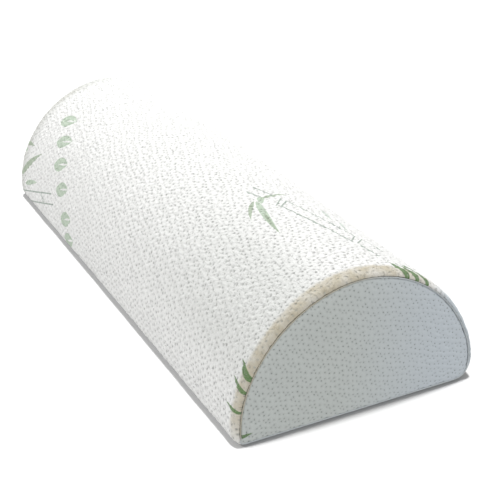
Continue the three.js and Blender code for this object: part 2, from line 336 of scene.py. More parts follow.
@dataclass(frozen=True)
class Section:
    """The D-shaped section that every layer follows, as one closed loop.

    The loop starts at the front bottom edge, runs over the top to the back and returns along
    the base. A place on it is its distance along the cloth from the front bottom edge.
    """

    width: float = 203.0
    height: float = 113.0
    spring: float = 11.1  # the height where the arch is widest
    fullness: float = 1.925  # 2 is a plain ellipse
    front_radius: float = 8.0
    back_radius: float = 17.0
    zip_height: float = 32.0
    zip_fill: float = 0.75  # how far the zip's band stands out from the plain arch
    zip_spread: float = 17.0
    smoothing: float = 1.6
    samples: int = 4096

    def __post_init__(self) -> None:
        """Works out the loop once: corner arcs, the arch, the base, then light smoothing."""
        half, rise = self.width / 2, self.height - self.spring
        turn = np.linspace(0, math.pi / 2, 200)
        arch_turn = np.linspace(0.0, math.pi, 4000)
        power = 2 / self.fullness
        arch_y = -half * np.sign(np.cos(arch_turn)) * np.abs(np.cos(arch_turn)) ** power
        arch_z = self.spring + rise * np.sin(arch_turn) ** power
        back_y = half * (1 - ((self.back_radius - self.spring) / rise) ** self.fullness) ** (
            1 / self.fullness
        )
        keep = (arch_y < 0) | (arch_z > self.back_radius)
        r, q = self.front_radius, self.back_radius
        front = np.stack([-half + r - r * np.sin(turn), r - r * np.cos(turn)], 1)
        back = np.stack([back_y - q + q * np.cos(turn), q - q * np.sin(turn)], 1)
        arch = np.stack([arch_y, arch_z], 1)[keep]
        loop = self._even(np.concatenate([front, arch[1:-1], back]))
        loop = self._smooth(loop, self.smoothing)
        swell = self.zip_fill * np.exp(-(((loop[:, 1] - self.zip_height) / self.zip_spread) ** 2))
        swell = np.where(loop[:, 0] > 0, swell * eased(loop[:, 1], 4, 20), 0)
        loop = loop + self._outward(loop) * swell[:, None]
        loop[:, 1] -= loop[:, 1].min()
        loop = self._even(loop)
        lengths = np.linalg.norm(np.roll(loop, -1, 0) - loop, axis=1)
        object.__setattr__(self, "_loop", loop)
        object.__setattr__(self, "_normal", self._outward(loop))
        object.__setattr__(self, "girth", float(lengths.sum()))
        object.__setattr__(self, "lead", r * math.pi / 2 - r)

    def _even(self, loop: Array) -> Array:
        """The same closed loop with evenly spaced points."""
        closed = np.concatenate([loop, loop[:1]])
        run = np.concatenate([[0], np.cumsum(np.linalg.norm(np.diff(closed, axis=0), axis=1))])
        at = np.linspace(0, run[-1], self.samples, endpoint=False)
        return np.stack([np.interp(at, run, closed[:, k]) for k in (0, 1)], 1)

    def _smooth(self, loop: Array, reach: float) -> Array:
        """The closed loop averaged with a bell-shaped weight of the given reach.

        Args:
            loop: Its evenly spaced points.
            reach: Where the weight falls to exp(-1/2), in millimetres.

        Returns:
            The averaged points.
        """
        pitch = np.linalg.norm(loop[1] - loop[0])
        span = int(4 * reach / pitch)
        weight = np.exp(-0.5 * (np.arange(-span, span + 1) * pitch / reach) ** 2)
        weight /= weight.sum()
        padded = np.concatenate([loop[-span:], loop, loop[:span]])
        return np.stack([np.convolve(padded[:, k], weight, mode="valid") for k in (0, 1)], 1)

    @staticmethod
    def _outward(loop: Array) -> Array:
        """Unit normals of the loop, which runs front, top, back: its tangent turned to the left."""
        tangent = np.roll(loop, -1, 0) - np.roll(loop, 1, 0)
        return unit(np.stack([-tangent[:, 1], tangent[:, 0]], 1))

    def at(self, place: Array) -> tuple[Array, Array]:
        """Points and outward normals at places along the cloth.

        Args:
            place: Distances from the front bottom edge, of any shape.

        Returns:
            The points and the normals, each with y and z along a new last axis.
        """
        step = (np.asarray(place, float) + self.lead) / self.girth * self.samples % self.samples
        knots = np.arange(self.samples + 1)
        loops = [np.concatenate([a, a[:1]]) for a in (self._loop, self._normal)]
        found = [np.stack([np.interp(step, knots, a[:, k]) for k in (0, 1)], -1) for a in loops]
        return found[0], unit(found[1])

    def inset(self, place: Array, depth: Array | float) -> Array:
        """Points drawn in from the loop along its normals."""
        point, normal = self.at(place)
        return point - normal * np.broadcast_to(depth, point.shape[:-1])[..., None]

    def snug(self, place: Array) -> Array:
        """Share of an end's roundness at places: 1 on the arch and less along the base."""
        return 1 - 0.6 * eased(-self.at(place)[1][..., 1], 0.25, 0.95)

    def place_of(self, y: float, z: float) -> float:
        """The place along the cloth that lies nearest to a point."""
        nearest = np.argmin(np.hypot(self._loop[:, 0] - y, self._loop[:, 1] - z))
        return float(nearest / self.samples * self.girth - self.lead)

    def depth_of(self, points: Array, inset: float = 0.0) -> Array:
        """How far points of the section's plane lie inside an end's edge that is drawn in by inset.

        Args:
            points: The points, with y and z along the last axis.
            inset: How far the edge is drawn in where it is snug.

        Returns:
            The distance from each point to the nearest of every sixth point of the edge.
        """
        place = np.arange(self.samples) / self.samples * self.girth - self.lead
        edge = (self._loop - self._normal * (inset * self.snug(place))[:, None])[::6]
        flat = points.reshape(-1, 2)
        gap = np.full(len(flat), np.inf)
        for part in np.array_split(edge, 8):
            gap = np.minimum(gap, np.hypot(*(flat[:, None] - part[None]).transpose(2, 0, 1)).min(1))
        return gap.reshape(points.shape[:-1])


@dataclass(frozen=True)
class QuiltPattern:
    """Where the two faces of the knit are tied together: nine ties in a slanted repeat.

    A point's repeat coordinates are its millimetres on the cloth times the inverse of the two
    repeat vectors, after a slow sine drift that keeps the rows from lining up.
    """

    repeat_a: Pair = (14.0, -4.5)
    repeat_b: Pair = (2.0, 13.0)
    ties: tuple[Pair, ...] = (
        (0.810, 0.643),
        (0.073, 0.625),
        (0.408, 0.473),
        (0.836, 0.198),
        (0.300, 0.822),
        (0.945, 0.844),
        (0.542, 0.229),
        (0.625, 0.858),
        (0.233, 0.262),
    )
    drift: float = 0.9
    puff: float = 1.1  # millimetres from the floor of a tie to the top of a puff
    puff_reach: float = 1.5

    def lengths(self) -> Pair:
        """The lengths of the two repeat vectors."""
        return math.hypot(*self.repeat_a), math.hypot(*self.repeat_b)

    def coordinates(self, along: Array, across: Array) -> Array:
        """Repeat coordinates of points on the cloth.

        Args:
            along: Millimetres along the pillow.
            across: Millimetres round it.

        Returns:
            Two values for each point, along a new last axis.
        """
        slow_x = np.sin(across / 17.3 + 0.6) + 0.7 * np.sin(across / 7.1 + along / 23)
        slow_y = np.sin(along / 15.1) + 0.7 * np.sin(along / 6.7 - across / 19 + 2)
        quick_x = np.sin(along / 2.7 + across / 3.9 + 1.7 * slow_y)
        quick_y = np.sin(across / 2.9 - along / 3.4 + 1.7 * slow_x)
        x = along + self.drift * (slow_x + 0.6 * quick_x)
        y = across + self.drift * (slow_y + 0.6 * quick_y)
        matrix = np.linalg.inv(np.array([self.repeat_a, self.repeat_b]).T)
        return np.stack([x, y], -1) @ matrix.T

    def reach(self, coordinates: Array) -> Array:
        """Millimetres from each point to its nearest tie, by the wrapped difference to each tie.

        Args:
            coordinates: The points' repeat coordinates.

        Returns:
            One distance for each point.
        """
        scale = np.array(self.lengths())
        gap = np.full(coordinates.shape[:-1], np.inf)
        for tie in self.ties:
            offset = (coordinates - tie + 0.5) % 1 - 0.5
            gap = np.minimum(gap, np.hypot(*np.moveaxis(offset * scale, -1, 0)))
        return gap

    def relief(self, coordinates: Array) -> Array:
        """Height of the puffs: a bell-shaped dip at each tie, measured from the puffs' tops."""
        gap = self.reach(coordinates)
        return -self.puff * np.exp(-((gap / self.puff_reach) ** 2))


# ---- Finishes ----


class Wiring:
    """Lays shader nodes. Each method takes sockets or plain values, and returns its result's socket."""

    def __init__(self, tree: bpy.types.NodeTree) -> None:
        """Works in one node tree."""
        self.tree = tree

    def node(self, kind: str, **settings: object) -> bpy.types.Node:
        """A new node with some of its settings changed."""
        made = self.tree.nodes.new(kind)
        for key, value in settings.items():
            setattr(made, key, value)
        return made

    def feed(self, socket: Socket, value: object) -> None:
        """Links a socket to another, or sets its own value."""
        if isinstance(value, Socket):
            self.tree.links.new(value, socket)
        elif value is not None:
            socket.default_value = value

    def math(self, operation: str, *values: object) -> Socket:
        """One step of arithmetic on numbers."""
        made = self.node("ShaderNodeMath", operation=operation)
        for socket, value in zip(made.inputs, values):
            self.feed(socket, value)
        return made.outputs[0]

    def times(self, product: object, *others: object) -> Socket:
        """The product of two or more numbers."""
        for other in others:
            product = self.math("MULTIPLY", product, other)
        return product

    def vector(self, operation: str, *values: object, out: str = "Vector") -> Socket:
        """One step of arithmetic on vectors; out is Value for a dot product or a length."""
        made = self.node("ShaderNodeVectorMath", operation=operation)
        for socket, value in zip(made.inputs, values):
            self.feed(socket, value)
        return made.outputs[out]

    def ease(
        self, value: object, low: float, high: float, start: float = 0.0, end: float = 1.0
    ) -> Socket:
        """A smooth step from start at low to end at high."""
        made = self.node("ShaderNodeMapRange", interpolation_type="SMOOTHSTEP")
        for socket, given in zip(made.inputs, (value, low, high, start, end)):
            self.feed(socket, given)
        return made.outputs[0]

    def blend(self, share: object, first: object, second: object) -> Socket:
        """Colour first where share is 0 and second where it is 1."""
        made = self.node("ShaderNodeMix", data_type="RGBA", clamp_factor=True)
        for key, value in ((0, share), (6, first), (7, second)):
            self.feed(made.inputs[key], value)
        return made.outputs[2]

    def noise(
        self, place: object, scale: float, detail: float = 2.0, rough: float = 0.5
    ) -> Socket:
        """Cloudy values round one half.

        Args:
            place: Where they are read.
            scale: How many clouds there are to a unit.
            detail: How many finer layers there are.
            rough: How strong those are.

        Returns:
            The value.
        """
        made = self.node("ShaderNodeTexNoise")
        for key, value in (("Vector", place), ("Scale", scale), ("Detail", detail), ("Roughness", rough)):
            self.feed(made.inputs[key], value)
        return made.outputs[0]

    def map(self, name: str) -> Socket:
        """A piece's own map, by name."""
        return self.node("ShaderNodeUVMap", uv_map=name).outputs[0]

    def place(self) -> Socket:
        """Object coordinates, in metres."""
        return self.node("ShaderNodeTexCoord").outputs["Object"]

    def ruler(self) -> Socket:
        """Object coordinates, in millimetres."""
        made = self.node("ShaderNodeVectorMath", operation="SCALE")
        self.feed(made.inputs[0], self.place())
        made.inputs["Scale"].default_value = 1 / MM
        return made.outputs[0]

    def split(self, vector: Socket) -> list[Socket]:
        """The three parts of a vector."""
        made = self.node("ShaderNodeSeparateXYZ")
        self.feed(made.inputs[0], vector)
        return list(made.outputs)

    def wave(self, value: object, pitch: float) -> Socket:
        """A sine of the given pitch."""
        return self.math("SINE", self.times(value, 2 * math.pi / pitch))

    def bump(
        self, height: object, depth: float, strength: float = 1.0, over: object = None
    ) -> Socket:
        """A normal for a height of 0 to 1 that stands for depth metres.

        Args:
            height: The height.
            depth: What a height of 1 stands for.
            strength: How much of it counts.
            over: A coarser or finer normal that it is added to.

        Returns:
            The normal.
        """
        made = self.node("ShaderNodeBump")
        for key, value in (("Strength", strength), ("Distance", depth), ("Height", height)):
            self.feed(made.inputs[key], value)
        if over is not None:
            self.feed(made.inputs["Normal"], over)
        return made.outputs[0]


class Tone(Enum):
    """The dyes of the printed sprays."""

    SAGE = (184, 200, 180)
    FAINT = (206, 214, 206)
    LEAF = (96, 128, 78)
    OLIVE = (166, 180, 158)
    CANE = (160, 171, 162)


class Tint(Enum):
    """Colours that the cloth slowly turns to. All but THREAD are painted shade."""

    CREAM_SHADE = (196, 188, 168)  # a cream tint with painted shade where the wrap rounds over to an end seam
    NEAR = (223, 224, 221)  # painted shade on the front of the wrap towards +X
    FAR = (208, 209, 205)  # painted shade on the last stretch of the wrap at the other end
    TURNED_SHADE = (199, 207, 212)  # cool painted shade on the wrap's edges behind the crown
    COOL_SHADE = (201, 209, 216)  # cool painted shade on an end panel towards +Y
    THREAD = (203, 209, 211)  # the seam's thread at the back and along the base

    @property
    def linear(self) -> Colour:
        """The tint as shaders take it."""
        return srgb(*self.value)


@dataclass(frozen=True)
class Mark:
    """A printed mark, in millimetres on the cloth, that runs from its base to its tip."""

    base: Pair
    tip: Pair
    width: float
    tone: Tone = Tone.CANE
    bow: float = 0.0

    @staticmethod
    def mask(w: Wiring, given: bpy.types.NodeOutputs, run: Socket, side: Socket) -> Socket:
        """1 inside the mark and 0 outside it.

        Args:
            w: The node group's wiring.
            given: The group's inputs.
            run: Millimetres from the mark's base along it.
            side: Millimetres sideways from the line between its base and its tip.

        Returns:
            The mask.
        """
        raise NotImplementedError

    @classmethod
    def group(cls) -> bpy.types.NodeTree:
        """The shared node group that draws one mark of this kind.

        Returns:
            The group, made at the first call.
        """
        title = f"printed {cls.__name__.lower()}"
        found = bpy.data.node_groups.get(title)
        if found:
            return found
        tree = bpy.data.node_groups.new(title, "ShaderNodeTree")
        vectors, numbers = ("Cloth", "Base", "Along", "Aside"), ("Length", "Half", "Bow")
        for name in vectors + numbers:
            kind = "NodeSocketVector" if name in vectors else "NodeSocketFloat"
            tree.interface.new_socket(name, in_out="INPUT", socket_type=kind)
        tree.interface.new_socket("Mask", in_out="OUTPUT", socket_type="NodeSocketFloat")
        w = Wiring(tree)
        given = w.node("NodeGroupInput").outputs
        point = w.vector("SUBTRACT", given["Cloth"], given["Base"])
        run = w.vector("DOT_PRODUCT", point, given["Along"], out="Value")
        side = w.vector("DOT_PRODUCT", point, given["Aside"], out="Value")
        w.feed(w.node("NodeGroupOutput").inputs[0], cls.mask(w, given, run, side))
        return tree

    def draw(self, w: Wiring, cloth: Socket) -> Socket:
        """Adds this mark to a material and returns its mask.

        Args:
            w: The material's wiring.
            cloth: Millimetres along the pillow and round it.

        Returns:
            1 inside the mark and 0 outside it.
        """
        run = np.subtract(self.tip, self.base)
        length = float(np.hypot(*run))
        along = run / length
        aside = (-along[1], along[0], 0.0)
        made = w.node("ShaderNodeGroup", node_tree=self.group())
        values = (cloth, (*self.base, 0.0), (*along, 0.0), aside, length, self.width / 2, self.bow)
        for socket, value in zip(made.inputs, values):
            w.feed(socket, value)
        return made.outputs[0]


class Leaf(Mark):
    """A printed bamboo leaf.

    Its half width at share t of its length is 2.6 * sqrt(t) * (1 - t) times half its width,
    round a line that bows sideways by 4t(1 - t) times its bow.
    """

    @staticmethod
    def mask(w: Wiring, given: bpy.types.NodeOutputs, run: Socket, side: Socket) -> Socket:
        """The leaf's shape, as the class says."""
        share = w.math("DIVIDE", run, given["Length"])
        left = w.math("SUBTRACT", 1.0, share)
        bowed = w.times(w.times(share, left, 4.0), given["Bow"])
        off = w.math("ABSOLUTE", w.math("SUBTRACT", side, bowed))
        half = w.times(w.math("SQRT", share), left, 2.6)
        inside = w.math("SUBTRACT", w.times(half, given["Half"]), off)
        inside = w.math("MINIMUM", inside, w.times(share, given["Length"]))
        return w.ease(inside, -0.3, 0.35)


class Cane(Mark):
    """A thin printed line, such as one side of a bamboo cane."""

    @staticmethod
    def mask(w: Wiring, given: bpy.types.NodeOutputs, run: Socket, side: Socket) -> Socket:
        """Half the width less the distance aside, cut off at both ends."""
        inside = w.math("SUBTRACT", given["Half"], w.math("ABSOLUTE", side))
        ends = w.math("MINIMUM", run, w.math("SUBTRACT", given["Length"], run))
        return w.ease(w.math("MINIMUM", inside, ends), -0.25, 0.25)


def shader(name: str) -> tuple[Material, Wiring, bpy.types.Node]:
    """A new material with one main shader.

    Args:
        name: The finish's name.

    Returns:
        The material, its wiring and its main shader node.
    """
    made = bpy.data.materials.new(name)
    made.use_nodes = True
    made.node_tree.nodes.clear()
    w = Wiring(made.node_tree)
    main = w.node("ShaderNodeBsdfPrincipled")
    out = w.node("ShaderNodeOutputMaterial")
    w.feed(out.inputs["Surface"], main.outputs[0])
    return made, w, main


@dataclass(frozen=True)
class QuiltFinish:
    """Double knit tied together at points, with a pale print."""

    name: str
    pattern: QuiltPattern
    ground: Dye
    tie: Dye
    motifs: tuple[Mark, ...] = ()
    band: bool = False  # whether the wrap takes painted shade: creamy where it rounds over to the end seams, greyer at its near front and far end, cool on its turned edges; its ties also fade as painted light
    crinkle: float = 2.1  # depth of the creases between the ties, in millimetres
    half_length: float = 260.4
    tie_size: float = 0.78
    tie_strength: float = 0.9
    tie_depth: float = 0.6
    cool_shade_side: bool = False  # whether painted shade turns the cloth a little bluer towards +Y

    def tie_gap(self, w: Wiring) -> Socket:
        """Millimetres to the nearest tie, as QuiltPattern.reach works it out.

        Args:
            w: The material's wiring.

        Returns:
            The distance.
        """
        coordinates = w.map("Quilt")
        long, wide = self.pattern.lengths()
        gap: object = 99.0
        for u, v in self.pattern.ties:
            moved = w.vector("FRACTION", w.vector("ADD", coordinates, (0.5 - u, 0.5 - v, 0.0)))
            offset = w.vector("MULTIPLY_ADD", moved, (long, wide, 0.0), (-long / 2, -wide / 2, 0.0))
            length = w.vector("LENGTH", offset, out="Value")
            gap = w.math("MINIMUM", gap, length)
        return gap

    def shaded_edges(self, w: Wiring, colour: Socket, cloth: Socket) -> Socket:
        """The wrap's painted shade: greyer on its near front, creamy on the rims that round over to the end
        seams, greyer at the far end and cool on the turned edges.

        Args:
            w: The material's wiring.
            colour: The cloth's colour so far.
            cloth: Millimetres along the pillow and round it.

        Returns:
            The colour with these changes.
        """
        along, across, _ = w.split(cloth)
        length = w.math("ABSOLUTE", along)
        # Painted shade: the front of the wrap turns greyer towards the near end.
        near = w.times(w.ease(across, 25, 75), w.ease(across, 120, 160, 1.0, 0.0))
        near = w.times(near, w.ease(along, -20, 230))
        colour = w.blend(near, colour, Tint.NEAR.linear)
        # Painted shade with a cream tint on the rims that round over to the end seams, wider at the crown.
        top = w.times(w.ease(across, 70, 150), w.ease(across, 190, 250, 1.0, 0.0))
        reach = w.math("MULTIPLY_ADD", top, 4.0, length)
        rim = w.ease(reach, self.half_length - 10.5, self.half_length - 5.0)
        over = w.times(w.ease(across, -8, 30), w.ease(across, 205, 250, 1.0, 0.0))
        far = w.times(w.ease(along, -10, 10, 1.0, 0.0), w.ease(across, 120, 160))
        mottle = w.ease(w.noise(cloth, 0.09, 2.0), 0.2, 0.7, 0.5, 1.0)
        share = w.times(rim, over, mottle, w.math("SUBTRACT", 1.0, far))
        colour = w.blend(share, colour, Tint.CREAM_SHADE.linear)
        # Painted shade: the last stretch of the far end turns greyer.
        far_shade = w.ease(along, 24 - self.half_length, 5 - self.half_length, 0.0, 0.9)
        far_shade = w.times(far_shade, w.ease(across, 150, 200, 1.0, 0.0))
        colour = w.blend(far_shade, colour, Tint.FAR.linear)
        # Painted shade: the turned edges behind the crown turn cool grey.
        turned = w.ease(length, self.half_length - 8.0, self.half_length - 3.0)
        return w.blend(w.times(turned, w.ease(across, 236, 262)), colour, Tint.TURNED_SHADE.linear)

    def printed(self, w: Wiring, colour: Socket, cloth: Socket, fine: Socket) -> Socket:
        """The print over the cloth, a little worn where the knit stands high.

        Args:
            w: The material's wiring.
            colour: The cloth's colour so far.
            cloth: Millimetres along the pillow and round it.
            fine: The knit's fine cloudiness.

        Returns:
            The colour with the print on it.
        """
        for tone in Tone:
            masks = [m.draw(w, cloth) for m in self.motifs if m.tone is tone]
            if masks:
                mask = masks[0]
                for other in masks[1:]:
                    mask = w.math("MAXIMUM", mask, other)
                worn = w.ease(fine, 0.25, 0.6, 0.72, 0.98)
                colour = w.blend(w.times(mask, worn), colour, srgb(*tone.value))
        return colour

    def spots(self, w: Wiring, cloth: Socket, fine: Socket, gap: Socket) -> Socket:
        """The ties' dark spots: ragged at the rim, uneven, and fainter beyond the crown and on the wrap's
        far half, as painted light where the lamps are strongest.

        Args:
            w: The material's wiring.
            cloth: Millimetres along the pillow and round it.
            fine: The knit's fine cloudiness.
            gap: Millimetres to the nearest tie.

        Returns:
            How much of the ties' colour shows, from 0 to 1.
        """
        ragged = w.math("ADD", gap, w.times(w.math("SUBTRACT", fine, 0.5), 0.55))
        tied = w.ease(ragged, self.tie_size * 0.35, self.tie_size * 1.25, 1.0, 0.0)
        uneven = w.ease(w.noise(cloth, 0.16, 1.0), 0.3, 0.7, 0.45, 1.0)
        spot = w.times(tied, uneven, self.tie_strength)
        if self.band:
            along, across, _ = w.split(cloth)
            # Painted light: the ties fade beyond the crown and towards the far end.
            painted_light_fade = w.times(w.ease(across, 100, 175, 1.0, 0.7), w.ease(along, -230, 10, 0.2, 1.0))
            spot = w.times(spot, painted_light_fade)
        return spot

    def knit(self, w: Wiring, cloth: Socket, fine: Socket, gap: Socket) -> Socket:
        """The knit's relief: fine ribs, then the creases between ties, then the ties' dips.

        Args:
            w: The material's wiring.
            cloth: Millimetres along the pillow and round it.
            fine: The knit's fine cloudiness.
            gap: Millimetres to the nearest tie.

        Returns:
            The normal.
        """
        along, across, _ = w.split(cloth)
        rib = w.times(w.wave(along, 1.05), w.wave(across, 0.85))
        low = w.bump(w.math("MULTIPLY_ADD", rib, 0.22, w.times(fine, 0.6)), 0.00012, 0.7)
        crease = w.noise(w.vector("MULTIPLY", cloth, (0.30, 0.38, 1.0)), 1.0, 1.5, 0.55)
        middle = w.bump(crease, self.crinkle * MM, 1.0, over=low)
        return w.bump(w.ease(gap, 0.0, 1.5), self.tie_depth * MM, 1.0, over=middle)

    def build(self) -> Material:
        """Makes the material: ground, painted shade in the valleys and along the wrap's edges, print, ties,
        then the knit's relief.

        Returns:
            The material.
        """
        made, w, main = shader(self.name)
        cloth = w.map("Cloth")
        along, _, _ = w.split(cloth)
        slow = w.noise(cloth, 0.035, 2.0)
        fine = w.noise(cloth, 0.9, 2.0)
        gap = self.tie_gap(w)
        ground = srgb(*self.ground)
        shade = toned(ground, 0.88)
        colour = w.blend(w.ease(slow, 0.35, 0.7), ground, toned(ground, 0.975))
        # Painted shade: the cloth darkens in the valleys round each tie.
        colour = w.blend(w.times(w.ease(gap, 0.6, 2.4, 1.0, 0.0), 0.7), colour, shade)
        if self.band:
            colour = self.shaded_edges(w, colour, cloth)
        # Painted shade: an end panel turns cooler towards +Y.
        if self.cool_shade_side:
            colour = w.blend(w.ease(along, -30, 80, 0.0, 0.9), colour, Tint.COOL_SHADE.linear)
        colour = self.printed(w, colour, cloth, fine)
        spot = self.spots(w, cloth, fine, gap)
        w.feed(main.inputs["Base Color"], w.blend(spot, colour, srgb(*self.tie)))
        w.feed(main.inputs["Roughness"], w.ease(fine, 0.2, 0.8, 0.82, 0.97))
        main.inputs["Sheen Weight"].default_value = 0.12
        main.inputs["Sheen Roughness"].default_value = 0.6
        main.inputs["Specular IOR Level"].default_value = 0.25
        w.feed(main.inputs["Normal"], self.knit(w, cloth, fine, gap))
        return made


@dataclass(frozen=True)
class ThreadFinish:
    """Twisted sewing thread: fine slanted ridges on a soft ground."""

    name: str
    colour: Dye
    twist: float = 0.9
    fades: bool = False  # whether it takes the end panel's colour at the back and along the base

    def build(self) -> Material:
        """Makes the material: ridges, darker between them, and the fade where it is asked for.

        Returns:
            The material.
        """
        made, w, main = shader(self.name)
        place = w.ruler()
        x, y, z = w.split(place)
        slant = w.math("ADD", w.math("ADD", x, y), z)
        ridge = w.math("MULTIPLY_ADD", w.wave(slant, self.twist), 0.5, 0.5)
        cloud = w.noise(place, 0.5, 2.0)
        dark = toned(srgb(*self.colour), 0.6)
        mixed = w.times(w.math("ADD", ridge, cloud), 0.5)
        colour = w.blend(w.ease(mixed, 0.2, 0.7), dark, srgb(*self.colour))
        if self.fades:
            pale = w.math("MAXIMUM", w.ease(y, -30, 40), w.ease(z, 4.0, 11.0, 1.0, 0.0))
            colour = w.blend(pale, colour, Tint.THREAD.linear)
        w.feed(main.inputs["Base Color"], colour)
        w.feed(main.inputs["Roughness"], w.ease(cloud, 0.2, 0.8, 0.7, 0.9))
        main.inputs["Sheen Weight"].default_value = 0.2
        w.feed(main.inputs["Normal"], w.bump(ridge, 0.0001))
        return made


@dataclass(frozen=True)
class WovenFinish:
    """Plain or twill weave, for the zip's tapes, the liner and the label."""

    name: str
    colour: Dye
    pitch: float = 0.8  # of the weave, in millimetres
    slant: float = 0.5  # 0 is plain weave, and more leans towards twill
    rough: float = 0.85
    depth: float = 0.1

    def build(self) -> Material:
        """Makes the material from crossing sine ribs, a slow colour change and a few slubs.

        Returns:
            The material.
        """
        made, w, main = shader(self.name)
        place = w.ruler()
        x, y, z = w.split(place)
        round_it = w.math("ADD", y, z)
        warp = w.wave(w.math("MULTIPLY_ADD", round_it, self.slant, x), self.pitch)
        weft = w.wave(w.math("MULTIPLY_ADD", x, -self.slant, round_it), self.pitch)
        weave = w.math("MULTIPLY_ADD", w.times(warp, weft), 0.5, 0.5)
        cloud = w.noise(place, 0.06, 3.0)
        slub = w.noise(w.vector("MULTIPLY", place, (0.05, 1.5, 1.5)), 1.0, 1.0)
        ground = srgb(*self.colour)
        shade = toned(ground, 0.8)
        share = w.math("ADD", w.times(weave, 0.55), w.times(cloud, 0.45))
        colour = w.blend(w.ease(share, 0.15, 0.6), shade, ground)
        w.feed(main.inputs["Base Color"], w.blend(w.ease(slub, 0.62, 0.75, 0.0, 0.5), colour, shade))
        w.feed(main.inputs["Roughness"], w.ease(weave, 0.0, 1.0, self.rough + 0.08, self.rough - 0.05))
        main.inputs["Sheen Weight"].default_value = 0.1
        w.feed(main.inputs["Normal"], w.bump(weave, self.depth * MM))
        return made


@dataclass(frozen=True)
class MouldedFinish:
    """Moulded plastic with faint flow marks and scuffs on its edges."""

    name: str
    colour: Dye
    rough: float = 0.42

    def build(self) -> Material:
        """Makes the material from its colour, small specks and worn, lighter edges.

        Returns:
            The material.
        """
        made, w, main = shader(self.name)
        place = w.ruler()
        cloud = w.noise(place, 0.35, 3.0)
        speck = w.noise(place, 3.0, 2.0)
        edge = w.node("ShaderNodeNewGeometry").outputs["Pointiness"]
        ground = srgb(*self.colour)
        shade = toned(ground, 0.86)
        worn = toned(ground, 1.08)
        colour = w.blend(w.ease(cloud, 0.35, 0.65), ground, shade)
        w.feed(main.inputs["Base Color"], w.blend(w.ease(edge, 0.52, 0.6), colour, worn))
        w.feed(main.inputs["Roughness"], w.ease(speck, 0.3, 0.7, self.rough - 0.06, self.rough + 0.12))
        w.feed(main.inputs["Normal"], w.bump(speck, 0.00003, 0.6))
        return made


@dataclass(frozen=True)
class MetalFinish:
    """Die-cast metal with a satin plating, brushed along the zip."""

    name: str
    colour: Dye

    def build(self) -> Material:
        """Makes the material from long fine scratches, a few dull spots and bright edges.

        Returns:
            The material.
        """
        made, w, main = shader(self.name)
        place = w.ruler()
        brush = w.noise(w.vector("MULTIPLY", place, (0.25, 6.0, 6.0)), 1.0, 3.0)
        dull = w.noise(place, 0.5, 3.0)
        edge = w.node("ShaderNodeNewGeometry").outputs["Pointiness"]
        ground = srgb(*self.colour)
        shade = toned(ground, 0.7)
        bright = toned(ground, 1.25)
        colour = w.blend(w.ease(dull, 0.45, 0.7), ground, shade)
        w.feed(main.inputs["Base Color"], w.blend(w.ease(edge, 0.51, 0.58), colour, bright))
        main.inputs["Metallic"].default_value = 1.0
        w.feed(main.inputs["Roughness"], w.ease(brush, 0.3, 0.7, 0.22, 0.42))
        w.feed(main.inputs["Normal"], w.bump(brush, 0.00002, 0.5))
        return made


@dataclass(frozen=True)
class FoamFinish:
    """Memory foam: fine open cells."""

    name: str
    colour: Dye

    def build(self) -> Material:
        """Makes the material from one size of cells and a slow change of colour.

        Returns:
            The material.
        """
        made, w, main = shader(self.name)
        place = w.ruler()
        cells = w.node("ShaderNodeTexVoronoi", feature="F1")
        w.feed(cells.inputs["Vector"], place)
        w.feed(cells.inputs["Scale"], 0.9)
        pores = w.ease(cells.outputs["Distance"], 0.1, 0.6)
        cloud = w.noise(place, 0.04, 3.0)
        ground = srgb(*self.colour)
        shade = toned(ground, 0.82, 0.78, 0.7)
        share = w.math("MULTIPLY_ADD", pores, 0.6, w.times(cloud, 0.4))
        w.feed(main.inputs["Base Color"], w.blend(w.ease(share, 0.2, 0.75), shade, ground))
        w.feed(main.inputs["Roughness"], w.ease(pores, 0.0, 1.0, 1.0, 0.9))
        w.feed(main.inputs["Normal"], w.bump(pores, 0.0003))
        return made


# ---- The cover ----


